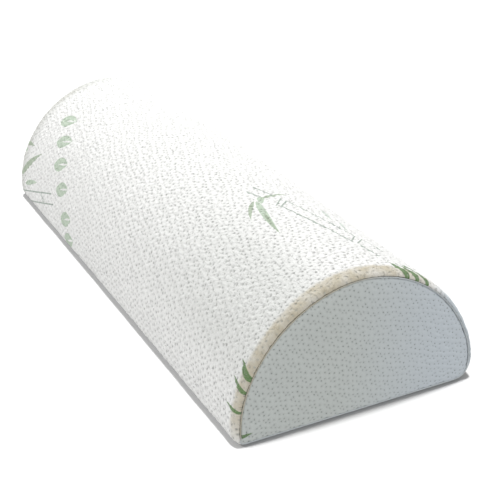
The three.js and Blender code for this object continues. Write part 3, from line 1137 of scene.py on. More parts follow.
@dataclass
class CoverSwell:
    """How the stretched cover settles over the foam: cloth run on a coarse closed copy of it."""

    section: Section
    half_length: float
    zip_place: float
    pressure: float = 4.0
    cap: float = 3.0
    rows: int = 46
    columns: int = 56
    frames: int = 20

    def knots(self) -> tuple[Array, Array]:
        """Even places along the pillow and round it.

        Returns:
            The places along and the places round.
        """
        x = np.linspace(-self.half_length, self.half_length, self.rows)
        s = self.section.girth * np.arange(self.columns) / self.columns - self.section.lead
        return x, s

    def run(self) -> Array:
        """Inflates the copy with its base and end seams held.

        Returns:
            How far each knot moved, in millimetres, as (rows, columns, 3).
        """
        x, s = self.knots()
        tuck = 3.9 * eased(np.abs(x), self.half_length - 12, self.half_length)
        outline = self.section.inset(np.broadcast_to(s, (self.rows, self.columns)), tuck[:, None])
        rest = np.concatenate([np.broadcast_to(x[:, None, None], (*outline.shape[:2], 1)), outline], 2)
        sewing = Sewing()
        index = sewing.add(rest)
        sewing.grid(closed_columns(index))
        for end, flip in ((0, True), (-1, False)):
            middle = rest[end].mean(0)
            ring = index[end]
            for share in (0.66, 0.33):
                inner = sewing.add(middle + (rest[end] - middle) * share)
                pair = closed_columns(np.stack([ring, inner]))
                sewing.grid(pair, flip=flip)
                ring = inner
            sewing.fan(ring, int(sewing.add(middle[None])[0]), flip=flip)
        trial = sewing.build("cover_trial")
        held = trial.vertex_groups.new(name="held")
        firm = 1 - eased(rest[..., 2], 1.0, 9.0)
        firm = np.maximum(firm, eased(np.abs(rest[..., 0]), self.half_length - 3, self.half_length))
        from_zip = np.abs(np.broadcast_to(s, firm.shape) - self.zip_place)
        firm = np.maximum(firm, 1 - eased(from_zip, 14.0, 34.0))
        for number, weight in zip(index.ravel().tolist(), firm.ravel().tolist()):
            held.add([number], weight, "REPLACE")
        held.add(list(range(int(index.size), sewing.count)), 1.0, "REPLACE")
        cloth = trial.modifiers.new("cloth", "CLOTH")
        cloth.settings.use_pressure = True
        cloth.settings.uniform_pressure_force = self.pressure
        cloth.settings.effector_weights.gravity = 0.0
        cloth.settings.quality = 6
        cloth.settings.mass = 0.3
        cloth.settings.tension_stiffness = 25.0
        cloth.settings.compression_stiffness = 25.0
        cloth.settings.bending_stiffness = 2.0
        cloth.settings.vertex_group_mass = "held"
        cloth.point_cache.frame_start, cloth.point_cache.frame_end = 1, self.frames
        scene = bpy.context.scene
        for step in range(1, self.frames + 1):
            scene.frame_set(step)
        settled = trial.evaluated_get(bpy.context.evaluated_depsgraph_get()).to_mesh()
        places = np.zeros(len(settled.vertices) * 3, np.float32)
        settled.vertices.foreach_get("co", places)
        moved = places.reshape(-1, 3)[: index.size].reshape(rest.shape) / MM - rest
        scene.frame_set(1)
        bpy.data.objects.remove(trial)
        length = np.linalg.norm(moved, axis=-1, keepdims=True)
        moved = moved / np.maximum(length, 1e-9) * self.cap * np.tanh(length / self.cap)
        outward = normals_of(rest, ring=True)
        loose = 1 - firm
        swell = (moved * outward).sum(-1)
        level = (swell * loose).sum() / (loose**2).sum()
        LOG.info("cover settled: %.2f mm at most, %.2f mm swell taken out", swell.max(), level)
        return moved - outward * (level * loose)[..., None]

    def carry(self, moved: Array, x: Array, s: Array) -> Array:
        """The same movement at other places, by cubic B-splines along and round the pillow.

        Args:
            moved: How far each knot moved.
            x: Places along the pillow.
            s: Places round it.

        Returns:
            How far each place moves, as (x, s, 3).
        """
        knot_x = (np.clip(x, -self.half_length, self.half_length) / self.half_length + 1) / 2
        weights_x = spline_weights(knot_x * (self.rows - 1), self.rows, False)
        knot_s = (s + self.section.lead) / self.section.girth * self.columns
        weights_s = spline_weights(knot_s, self.columns, True)
        return np.einsum("ai,bj,ijk->abk", weights_x, weights_s, moved, optimize=True)


@dataclass
class Cover:
    """The quilted cover: one panel wrapped round the pillow, a pad at each end and their seams."""

    section: Section
    pattern: QuiltPattern
    half_length: float = 260.4
    round_length: float = 9.5
    round_inset: float = 3.9
    thickness: float = 5.0
    pitch: float = 1.6
    slot_half: float = 226.0
    slot_half_width: float = 5.5
    lip: float = 1.8
    lip_steps: tuple[float, ...] = (0.15, 0.45, 0.9, 1.5, 2.3, 3.2, 4.2)  # grid lines off the slot
    stitch_offset: float = 8.0
    stitch_pitch: float = 3.2
    stitch_gap: float = 0.55
    stitch_radius: float = 0.3
    seat_half_width: float = 17.5  # the zip's seat, where the cover is thinner inside
    seat_half_length: float = 236.0
    seat_depth: float = 1.25
    panel_inset: float = 5.25
    panel_bulge: float = 2.0
    panel_crown: float = 9.0
    panel_depth: float = 5.2
    seam_inset: float = 4.95
    seam_radius: float = 0.34
    seam_swell: float = 0.12
    seam_pitch: float = 2.6
    seam_sink: float = 0.25
    panel_scale: float = 1.2  # the end panels' quilting is finer by this much

    def __post_init__(self) -> None:
        """Finds the zip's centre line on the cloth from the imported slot's stitches."""
        middle = (centre_of("zip_stitching_upper") + centre_of("zip_stitching_lower")) / 2
        self.zip_place = self.section.place_of(middle[1], middle[2])
        self.swell = CoverSwell(self.section, self.half_length, self.zip_place)
        self.moved = self.swell.run()

    # Places of the wrapped panel's grid

    def run_lines(self) -> tuple[Array, Array, int, int]:
        """Places along the pillow from groove to groove.

        Each end's profile is a quarter round from (half_length - round_length, 0) to
        (half_length, round_inset), and then a small turn down into the seam's groove.

        Returns:
            The x places, how far the outline is drawn in at each, and the first and last row
            of the slot.
        """
        turn = np.linspace(0, math.pi / 2, 11)[1:]
        round_x = self.half_length - self.round_length + self.round_length * np.sin(turn)
        round_d = self.round_inset * (1 - np.cos(turn))
        roll_x = self.half_length + np.array([-0.25, -1.1, -3.4, -5.4, -7.0])
        roll_d = self.round_inset + np.array([0.35, 0.7, 0.8, 0.85, 0.85])
        edge = self.half_length - self.round_length
        lips = self.slot_half + np.array([0.0, *self.lip_steps])
        inner = steps(-self.slot_half, self.slot_half, self.pitch)
        outer = steps(lips[-1] + 1.2, edge, self.pitch)
        right_x = np.concatenate([lips, outer, [edge], round_x, roll_x])
        right_d = np.concatenate([np.zeros(len(lips) + len(outer) + 1), round_d, roll_d])
        x = np.concatenate([-right_x[::-1], inner[1:], right_x])
        d = np.concatenate([right_d[::-1], np.zeros(len(inner) - 1), right_d])
        first = len(right_x) - 1
        return x, d, first, first + len(inner)

    def ring_lines(self) -> tuple[Array, int, int]:
        """Places round the pillow, closer together at the lips of the slot and wide on the base.

        Returns:
            The places, and the first and last column of the slot.
        """
        begin = -self.section.lead
        girth = self.section.girth
        base = begin + girth - (self.section.width - self.section.front_radius - self.section.back_radius)
        low, high = self.zip_place - self.slot_half_width, self.zip_place + self.slot_half_width
        lips = np.array(self.lip_steps[::-1])
        front = steps(begin, low - 5.0, self.pitch)
        before = np.concatenate([[low - 5.0], low - lips])
        slot = steps(low, high, self.pitch)
        after = np.concatenate([[high], high + lips[::-1]])
        back = steps(high + 5.2, base, self.pitch)
        floor = steps(base, begin + girth, 5.0)
        places = np.concatenate([front, before, slot, after, back, floor])
        first = len(front) + len(before)
        return places, first, first + len(slot)

    def surface(self, x: Array, d: Array, s: Array) -> Array:
        """The plain outer face: the section drawn in by d, plus how the cloth settles.

        Args:
            x: Places along the pillow.
            d: How far the section is drawn in at each x.
            s: Places round it.

        Returns:
            The points, as (x, s, 3).
        """
        depth = d[:, None] * self.section.snug(s)
        outline = self.section.inset(np.broadcast_to(s, (len(x), len(s))), depth)
        run = np.broadcast_to(x[:, None, None], (len(x), len(s), 1))
        return np.concatenate([run, outline], 2) + self.swell.carry(self.moved, x, s)

    def slot_gap(self, x: Array, s: Array) -> Array:
        """Distance on the cloth from the slot's edge, 0 inside it.

        Args:
            x: Places along the pillow.
            s: Places round it.

        Returns:
            The distances, as (x, s).
        """
        dx = np.maximum(np.abs(x)[:, None] - self.slot_half, 0)
        ds = np.maximum(np.abs(s - self.zip_place)[None] - self.slot_half_width, 0)
        return np.hypot(dx, ds)

    def relief(self, x: Array, s: Array) -> Array:
        """Height of the outer face: puffs, slow unevenness, puckers, stitch rows and lips.

        Args:
            x: Places along the pillow.
            s: Places round it.

        Returns:
            Millimetres above the plain face, as (x, s). The parts are sines and bells that add up.
        """
        gx, gs = np.meshgrid(x, s, indexing="ij")
        quilt = self.pattern.coordinates(gx, gs)
        rim = self.half_length - np.abs(gx)
        calm = eased(rim, 1.0, 12.0)
        height = self.pattern.relief(quilt) * (0.35 + 0.65 * calm)
        slow = np.sin(gx / 9.7 + 1.3 * np.sin(gs / 13.0)) * np.sin(gs / 8.3 + 1.1 * np.sin(gx / 17.0 + 1))
        fold = 1.2 * np.sin(gx / 5.9 - gs / 7.7)
        height += 0.11 * np.sin(gx / 0.83 + gs / 1.31 + fold) * np.sin(gs / 0.97 - gx / 1.63 - fold)
        height += 0.12 * np.sin(gx / 1.31 - gs / 1.13 + 1.4 * fold) * calm
        height += 0.10 * slow + 0.16 * np.sin(gx / 23.0 + gs / 31.0) * np.sin(gs / 27.0 - gx / 41.0)
        pucker = np.sin(gs / 2.05 + 0.8 * np.sin(gs / 11.0)) * np.exp(-(((rim - 6.0) / 5.0) ** 2))
        height += 0.13 * pucker
        off = np.abs(gs - self.zip_place)
        row = np.exp(-(((off - self.stitch_offset) / 0.9) ** 2))
        near = 1 - eased(np.abs(gx), self.slot_half, self.slot_half + 1.5)
        tucks = 0.8 + 0.2 * np.cos(gx / 3.2 * 2 * math.pi)
        height -= 0.85 * row * near * tucks
        gap = self.slot_gap(x, s)
        height *= np.where(gap < 2.5, eased(gap, 0, 2.5) * 0.6 + 0.4 * (gap > 0), 1)
        turn = np.clip(self.lip - gap, 0, self.lip)
        return height - (self.lip - np.sqrt(self.lip**2 - turn**2))

    def wrap(self, material: Material) -> Piece:
        """The panel round the pillow, as a closed shell with the zip's slot cut through it.

        Args:
            material: What it is dressed in.

        Returns:
            The finished panel.
        """
        x, d, row_a, row_b = self.run_lines()
        s, col_a, col_b = self.ring_lines()
        plain = self.surface(x, d, s)
        outward = normals_of(plain, ring=True)
        rise = self.relief(x, s)
        on_base = eased(-outward[..., 2], 0.2, 0.95)
        rise = np.where(on_base > 0, np.minimum(rise, 0.25 * (1 - on_base)), rise)
        in_groove = np.abs(x) < self.half_length - 0.9
        tail = np.zeros(len(x), bool)
        tail[:4], tail[-4:] = True, True
        rise[tail & in_groove] = 0
        outer = plain + outward * rise[..., None]
        outer[..., 2] = np.maximum(outer[..., 2], 0.0)

        sewing = Sewing()
        index = sewing.add(outer)
        ring = closed_columns(index)
        s_shut = np.append(s, s[0] + self.section.girth)
        cloth = np.stack(np.meshgrid(x, s_shut, indexing="ij"), -1)
        run = np.concatenate([[0], np.cumsum(np.hypot(np.diff(x), np.diff(d)))])
        bake = np.stack(
            np.meshgrid(run / run[-1], (s_shut - s_shut[0]) / self.section.girth, indexing="ij"), -1
        )
        keep = np.ones((len(x) - 1, len(s)), bool)
        keep[row_a:row_b, col_a:col_b] = False
        sewing.grid(
            ring,
            keep=keep,
            Cloth=cloth,
            Quilt=self.pattern.coordinates(cloth[..., 0], cloth[..., 1]),
            OFBake=bake * (1.0, 0.93),
        )

        # The inner face takes every fourth line, so that bridges can join it to each rim.
        span = x[row_a : row_b + 1 : BLOCK]
        reach = self.half_length - 7.2
        side = np.linspace(span[-1], reach, 5)[1:]
        inner_x = np.concatenate([-side[::-1], span, side])
        inner_s = s[::BLOCK]
        beside = np.abs(inner_s - self.zip_place) < self.seat_half_width
        seat = beside[None] & (np.abs(inner_x) < self.seat_half_length)[:, None]
        depth = np.where(seat, self.thickness - self.seat_depth, self.thickness)
        ends = np.abs(inner_x) > reach - 0.1
        depth[ends] = self.thickness - 0.2
        inner = self.surface(inner_x, np.zeros(len(inner_x)), inner_s)
        inner = inner - normals_of(inner, ring=True) * depth[..., None]
        lining = sewing.add(inner)
        hole = np.ones((len(inner_x) - 1, len(inner_s)), bool)
        a, b = len(side), len(side) + len(span) - 1
        c, e = col_a // BLOCK, col_b // BLOCK
        hole[a:b, c:e] = False
        strip = np.stack(np.meshgrid(inner_x, np.arange(len(inner_s) + 1), indexing="ij"), -1)
        low = np.array([inner_x[0], 0.0])
        size = np.array([inner_x[-1] - inner_x[0], len(inner_s)])
        sewing.grid(
            closed_columns(lining),
            keep=hole,
            flip=True,
            OFBake=(strip - low) / size * (1.0, 0.05) + (0.0, 0.94),
        )
        sewing.bridge(index[0], lining[0])
        sewing.bridge(index[-1], lining[-1], flip=True)

        def edge(grid: Array, r0: int, r1: int, c0: int, c1: int) -> Array:
            """Vertex numbers once round a rectangle of a grid."""
            return np.concatenate(
                [grid[r0:r1, c0], grid[r1, c0:c1], grid[r1:r0:-1, c1], grid[r0, c1:c0:-1]]
            )

        rim = edge(index, row_a, row_b, col_a, col_b)
        sewing.bridge(rim, edge(lining, a, b, c, e))
        made = sewing.build("cover_quilt_wrap")
        finish_piece(made, material, nodes=("cover_body_panel",))
        return made

    def zip_stitches(self, row: int, material: Material) -> Piece:
        """One row of stitches that holds a tape: short threads that dive into the cloth.

        Each is a tube of stitch_radius that rises as sin(pi t) over its length and thins to its ends.

        Args:
            row: 1 above the zip and -1 below it.
            material: The thread's finish.

        Returns:
            The finished stitches.
        """
        name = row_name(row)
        low, high = box_of(f"zip_stitching_{name}")
        count = int((high[0] - low[0]) / self.stitch_pitch)
        share = np.linspace(0, 1, 7)
        starts = low[0] + 0.3 + np.arange(count) * self.stitch_pitch
        x = starts[:, None] + share * (self.stitch_pitch - self.stitch_gap)
        s = np.array([self.zip_place - row * self.stitch_offset])
        flat = x.ravel()
        order = np.argsort(flat)
        plain = self.surface(flat, np.zeros(len(flat)), s)[:, 0]
        outward = self.section.at(s)[1][0]
        normal = np.array([0.0, *outward])
        rise = self.relief(flat[order], s)[:, 0]
        lift = np.empty_like(rise)
        lift[order] = rise
        height = lift.reshape(x.shape) * 0.85 - 0.3 + 0.45 * np.sin(math.pi * share)
        centre = plain.reshape(*x.shape, 3) + height[..., None] * normal
        radius = self.stitch_radius * (0.35 + 0.65 * np.sin(math.pi * share) ** 0.5)
        turn = np.arange(8) * math.pi / 4
        ring = np.cos(turn)[:, None] * normal + np.sin(turn)[:, None] * np.cross((1, 0, 0), normal)
        points = centre[:, :, None] + radius[None, :, None, None] * ring
        sewing = Sewing()
        sewing.tubes(points)
        made = sewing.build(f"zip_stitches_{name}")
        return finish_piece(made, material, nodes=(f"zip_stitching_{name}",))

    # The end pads

    def panel_quilt(self, points: Array, side: int) -> Array:
        """Repeat coordinates of points of an end panel's plane."""
        y, z = points[..., 0] * self.panel_scale, points[..., 1] * self.panel_scale
        return self.pattern.coordinates(y + 400 * side, z)

    def end_pad(self, side: int, material: Material) -> Piece:
        """One D-shaped end panel: a crowned face, a rolled rim and a flat back.

        The face is a grid of lines from the base to the arch, and rings at growing depth join
        its edge to the rim. Its crown rises with 1 - exp(-depth / panel_crown).

        Args:
            side: 1 for the end at +X and -1 for the other.
            material: What it is dressed in.

        Returns:
            The finished pad.
        """
        girth, lead = self.section.girth, self.section.lead
        corner = (lead + self.section.front_radius) / 2 - lead - 1.0
        base = self.section.width - self.section.front_radius - self.section.back_radius
        far = girth - lead - base - self.section.back_radius * math.pi / 4
        count = 4 * round((far - corner) / self.pitch / 4)
        top = np.linspace(corner, far, count + 1)
        under = np.linspace(far, corner + girth, count + 1)[1:-1]
        loop = np.concatenate([top, under])
        edge_x = self.half_length + 0.1

        insets = self.panel_inset + np.array([0.0, 0.0, 0.05, 0.25, 0.6, 1.1, 1.8, 2.8, 4.0])
        falls = np.array([5.0, 2.4, 1.5, 0.85, 0.45, 0.18, 0.04, 0.0, 0.0])
        depths = insets[:, None] * self.section.snug(loop)
        rings = self.section.inset(np.broadcast_to(loop, (len(insets), len(loop))), depths)
        rows = 4 * round(self.section.height / self.pitch / 4)
        outline = rings[-1]
        upper, lower = outline[: count + 1], outline[np.r_[0, len(loop) - 1 : count - 1 : -1]]
        share = np.linspace(0, 1, rows + 1)[None, :, None]
        face = lower[:, None] * (1 - share) + upper[:, None] * share

        def crown(points: Array) -> Array:
            """How far the face stands out at points of the section's plane."""
            depth = self.section.depth_of(points, self.panel_inset)
            return self.panel_bulge * (1 - np.exp(-depth / self.panel_crown))

        def lift(points: Array, x: Array) -> Array:
            """Points of the plane at x, turned to this end, with the quilting's relief."""
            y, z = points[..., 0], points[..., 1]
            quilt = self.panel_quilt(points, side)
            ripple = 0.12 * np.sin(y / 13.0 + 1.1 * np.sin(z / 17.0)) * np.sin(z / 11.0 + y / 29.0)
            x = x + crown(points) + 0.7 * self.pattern.relief(quilt) + ripple
            return np.stack([x * side, y, z], -1)

        sewing = Sewing()
        ring_points = lift(rings, np.broadcast_to((edge_x - falls)[:, None], rings.shape[:2]))
        ring_index = sewing.add(ring_points)
        flat = lift(face, np.full(face.shape[:2], edge_x))
        inside = sewing.add(flat[1:-1, 1:-1])
        border = ring_index[-1]
        grid = np.zeros(face.shape[:2], int)
        grid[1:-1, 1:-1] = inside
        grid[:, -1] = border[: count + 1]
        grid[:, 0] = border[np.r_[0, len(loop) - 1 : count - 1 : -1]]
        grid[0], grid[-1] = border[0], border[count]

        def maps(points: Array) -> dict[str, Array]:
            """The cloth and repeat coordinates of points of the section's plane."""
            return {"Cloth": points, "Quilt": self.panel_quilt(points, side)}

        inward = side < 0
        ringed = closed_columns(ring_index)
        plane = np.concatenate([rings, rings[:, :1]], 1)
        sewing.grid(ringed, flip=inward, **maps(plane))
        middle = grid[1:-1]
        sewing.grid(middle, flip=inward, **maps(face[1:-1]))
        for near, first in ((0, 1), (-1, -2)):
            line, points = grid[first], face[first]
            tip = np.full(rows, grid[near, 0])
            fan = np.stack([tip, line[:-1], line[1:]], 1)
            spots = np.stack([np.broadcast_to(face[near, 0], points[:-1].shape), points[:-1], points[1:]], 1)
            order = [0, 1, 2] if (near == 0) != inward else [0, 2, 1]
            sewing.cover(fan[:, order], **{n: v[:, order] for n, v in maps(spots).items()})

        # The back is flat: a few rings and a closed middle.
        last = ring_index[0]
        centre = np.array([0.0, self.section.height * 0.42])
        for scale in (0.75, 0.45, 0.2):
            ring = centre + (rings[0] - centre) * scale
            points = np.concatenate([np.full((len(ring), 1), side * (edge_x - self.panel_depth)), ring], 1)
            new = sewing.add(points)
            sewing.grid(closed_columns(np.stack([last, new])), flip=not inward)
            last = new
        tip = sewing.add(np.array([[side * (edge_x - self.panel_depth), *centre]]))
        sewing.fan(last, int(tip[0]), flip=inward)
        name = end_name(side)
        made = sewing.build(f"end_quilt_{name}")
        finish_piece(made, material, nodes=(f"cover_end_panel_{name}",))
        return made

    def end_seam(self, side: int, material: Material) -> Piece:
        """The thread in an end seam: a ring whose radius swells at each slanted stitch.

        Its radius is seam_radius + seam_swell * |sin(pi * place / seam_pitch + turn / 2)|.

        Args:
            side: 1 for the end at +X and -1 for the other.
            material: The thread's finish.

        Returns:
            The finished ring.
        """
        count = 8 * round(self.section.girth / 0.75 / 8)
        place = np.arange(count) * self.section.girth / count
        turn = np.arange(8) * math.pi / 4
        phase = math.pi * place[:, None] / self.seam_pitch + turn[None] / 2
        radius = self.seam_radius + self.seam_swell * np.abs(np.sin(phase))
        point, normal = self.section.at(place)
        centre = point - normal * (self.seam_inset * self.section.snug(place))[:, None]
        sink = self.seam_sink + self.seam_swell * np.sin(place * 2 * math.pi / self.seam_pitch)
        out = radius * np.cos(turn)[None]
        run = self.half_length - sink[:, None] + radius * np.sin(turn)[None] * 1.6
        ring = centre[:, None] + normal[:, None] * out[..., None]
        points = np.concatenate([(run * side)[..., None], ring], -1)
        sewing = Sewing()
        index = sewing.add(points)
        index = np.concatenate([index, index[:1]])
        sewing.grid(closed_columns(index), flip=side > 0)
        name = end_name(side)
        made = sewing.build(f"end_stitching_{name}")
        return finish_piece(made, material, nodes=(f"end_seam_{name}",))

    def build(
        self, wrap: Material, ends: dict[int, Material], thread: Material, white_thread: Material
    ) -> None:
        """Makes every piece of the cover, and the stitches that hold the zip to it.

        Args:
            wrap: The wrapped panel's finish.
            ends: The end panels' finishes, by side.
            thread: The end seams' finish.
            white_thread: The finish of the zip's stitches.
        """
        self.wrap(wrap)
        for side in (1, -1):
            self.end_pad(side, ends[side])
            self.end_seam(side, thread)
            self.zip_stitches(side, white_thread)


# ---- The zip, the label and the filling ----


def lobe(sides: int, power: float) -> tuple[Array, Array]:
    """A ring from a circle, power 2, to a round-cornered square: cos and sin to the 2 / power.

    Args:
        sides: How many points it has.
        power: How square it is.

    Returns:
        The two coordinates of its points.
    """
    turn = (np.arange(sides) + 0.5) * 2 * math.pi / sides
    parts = [np.sign(w) * np.abs(w) ** (2 / power) for w in (np.cos(turn), np.sin(turn))]
    return parts[0], parts[1]


@dataclass
class Zip:
    """A moulded zip: two woven tapes with their teeth and stops, and a metal slider with a pull."""

    tape: Material
    moulding: Material
    metal: Material
    stitch_sink: float = 1.13  # from the cover's face to the middle of the tapes' stitches
    tooth_pitch: float = 3.2
    tooth_width: float = 1.55
    tooth_level: float = -3.0
    tooth_reach: tuple[float, ...] = (2.6, 1.9, 1.2, 0.4, -0.3, -0.75, -1.0)
    tooth_half: tuple[float, ...] = (0.70, 0.62, 0.50, 0.60, 0.76, 0.66, 0.35)
    tooth_rise: tuple[float, ...] = (0.85, 0.85, 0.80, 0.85, 0.88, 0.75, 0.45)
    edge: float = 0.16
    tape_offset: float = 8.3
    tape_half_width: float = 7.0
    tape_level: float = -4.5
    tape_half_thickness: float = 0.3
    rail_offset: float = 2.45
    rail_half_width: float = 0.54
    rail_half_height: float = 0.82
    stop_inner: float = 1.35
    stop_outer: float = 3.0
    stop_half_height: float = 0.9

    def __post_init__(self) -> None:
        """Finds the zip's middle and its two directions, up the cover and out of it."""
        upper, lower = centre_of("zip_stitching_upper"), centre_of("zip_stitching_lower")
        self.up = unit((upper - lower) * (0, 1, 1))
        self.out = np.array([0.0, self.up[2], -self.up[1]])
        self.middle = (upper + lower) / 2 * (0, 1, 1) + self.out * self.stitch_sink

    def place(self, x: Array, up: Array, out: Array) -> Array:
        """Points from distances along the pillow, up the cover and out of it."""
        x, up, out = (part[..., None] for part in np.broadcast_arrays(x, up, out))
        return self.middle + x * np.array([1.0, 0.0, 0.0]) + up * self.up + out * self.out

    def tape_piece(self, row: int) -> Piece:
        """One tape: a thin ribbon whose edges are round, with a slight wave.

        Args:
            row: 1 above the zip and -1 below it.

        Returns:
            The finished tape.
        """
        name = row_name(row)
        low, high = box_of(f"zip_tape_{name}")
        x = np.linspace(low[0], high[0], 200)[None, :, None]
        out, across = lobe(40, 10)
        wave = 0.04 * np.sin(x / 5.3) * np.abs(across)
        up = row * self.tape_offset + self.tape_half_width * across
        level = self.tape_level + self.tape_half_thickness * out + wave
        sewing = Sewing()
        sewing.tubes(self.place(x, up, level))
        made = sewing.build(f"zip_tape_{name}_woven")
        finish_piece(made, self.tape, nodes=(f"zip_tape_{name}",))
        return made

    def teeth(self, row: int) -> Piece:
        """One row of teeth on its rail. A tooth narrows to a neck and widens to a round head.

        Args:
            row: 1 above the zip and -1 below it.

        Returns:
            The finished row.
        """
        name = row_name(row)
        low, high = box_of(f"zip_teeth_{name}")
        count = 1 + round((high[0] - low[0] - self.tooth_width) / self.tooth_pitch)
        middle = high[0] - self.tooth_width / 2 - self.tooth_pitch * np.arange(count)
        reach, half, rise = (np.array(v) for v in (self.tooth_reach, self.tooth_half, self.tooth_rise))
        wide, tall = lobe(8, 3.2)
        points = self.place(
            middle[:, None, None] + half[:, None] * wide,
            row * reach[None, :, None],
            self.tooth_level + rise[:, None] * tall,
        )
        sewing = Sewing()
        sewing.tubes(points, flip=row > 0)
        out, across = lobe(12, 3.5)
        x = np.linspace(low[0], high[0], 150)[None, :, None]
        swell = 1 + 0.05 * np.cos(x / self.tooth_pitch * 2 * math.pi)
        up = row * self.rail_offset + self.rail_half_width * across
        sewing.tubes(self.place(x, up, self.tooth_level + self.rail_half_height * out * swell))
        made = sewing.build(f"zip_teeth_{name}_moulded")
        return finish_piece(made, self.moulding, nodes=(f"zip_teeth_{name}",))

    def stop(self, node: str, up_from: float, up_to: float) -> Piece:
        """A stop: a round-edged block across the teeth.

        Args:
            node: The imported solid's name.
            up_from: Its lower edge, up the cover from the middle.
            up_to: Its upper edge.

        Returns:
            The finished stop.
        """
        low, high = box_of(node)
        share = np.array([0.0, 0.06, 0.2, 0.5, 0.8, 0.94, 1.0])[None, :, None]
        size = np.array([0.72, 0.9, 1.0, 1.0, 1.0, 0.9, 0.72])[None, :, None]
        out, across = lobe(16, 5)
        x = low[0] + share * (high[0] - low[0])
        up = (up_from + up_to) / 2 + (up_to - up_from) / 2 * across * size
        sewing = Sewing()
        sewing.tubes(self.place(x, up, self.tooth_level + self.stop_half_height * out * size))
        made = sewing.build(f"{node}_moulded")
        return finish_piece(made, self.moulding, nodes=(node,))

    def softened(self, node: str, body: Body) -> Piece:
        """A packed metal solid with its edges rounded: merged, flats joined, hard edges bevelled.

        Args:
            node: The solid's name.
            body: The body it rides on.

        Returns:
            The finished casting.
        """
        shape = bmesh.new()
        shape.from_mesh(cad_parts[node].data)
        bmesh.ops.remove_doubles(shape, verts=shape.verts, dist=1e-6)
        bmesh.ops.dissolve_limit(
            shape, angle_limit=math.radians(3), verts=shape.verts, edges=shape.edges
        )
        hard = [e for e in shape.edges if e.is_manifold and e.calc_face_angle() > math.radians(40)]
        bmesh.ops.bevel(
            shape,
            geom=hard,
            offset=self.edge * MM,
            segments=2,
            profile=0.5,
            affect="EDGES",
            clamp_overlap=True,
        )
        bmesh.ops.triangulate(shape, faces=shape.faces)
        mesh = bpy.data.meshes.new(f"{node}_cast")
        shape.to_mesh(mesh)
        shape.free()
        mesh.polygons.foreach_set("use_smooth", np.ones(len(mesh.polygons), bool))
        made = bpy.data.objects.new(f"{node}_cast", mesh)
        bpy.context.scene.collection.objects.link(made)
        mesh.set_sharp_from_angle(angle=math.radians(50))
        return finish_piece(made, self.metal, body=body, nodes=(node,))

    def build(self) -> None:
        """Makes every piece of the zip but its stitches, which the cover makes."""
        for row in (1, -1):
            self.tape_piece(row)
            self.teeth(row)
        self.stop("zip_top_stop_upper", self.stop_inner, self.stop_outer)
        self.stop("zip_top_stop_lower", -self.stop_outer, -self.stop_inner)
        self.stop("zip_bottom_stop", -self.stop_outer, self.stop_outer)
        self.softened("zip_slider", Body.SLIDER)
        self.softened("zip_pull", Body.PULL)


@dataclass
class CareLabel:
    """A blank woven label that hangs from the zip's lower row of stitches."""

    cover: Cover
    material: Material
    length: float = 16.0
    gap: float = 0.35
    lift: float = 1.1
    half_thickness: float = 0.22

    def build(self) -> Piece:
        """Makes the label: a ribbon down the cover that lifts off with the square of its length.

        Returns:
            The finished label.
        """
        low, high = box_of("care_label")
        start = self.cover.zip_place + self.cover.stitch_offset + 0.4
        share = np.linspace(0, 1, 30)
        point, normal = self.cover.section.at(start + share * self.length)
        across, out = lobe(48, 9)
        x = (low[0] + high[0]) / 2 + (high[0] - low[0]) / 2 * across[None] + 0 * share[:, None]
        lift = self.gap + self.lift * share[:, None] ** 2 - self.half_thickness * out[None]
        lift = lift + 0.18 * np.sin(x / 4.1 + 1) * share[:, None]
        outline = point[:, None] + normal[:, None] * lift[..., None]
        sewing = Sewing()
        sewing.tubes(np.concatenate([x[..., None], outline], -1)[None])
        made = sewing.build("care_label_blank")
        finish_piece(made, self.material, nodes=("care_label",))
        return made


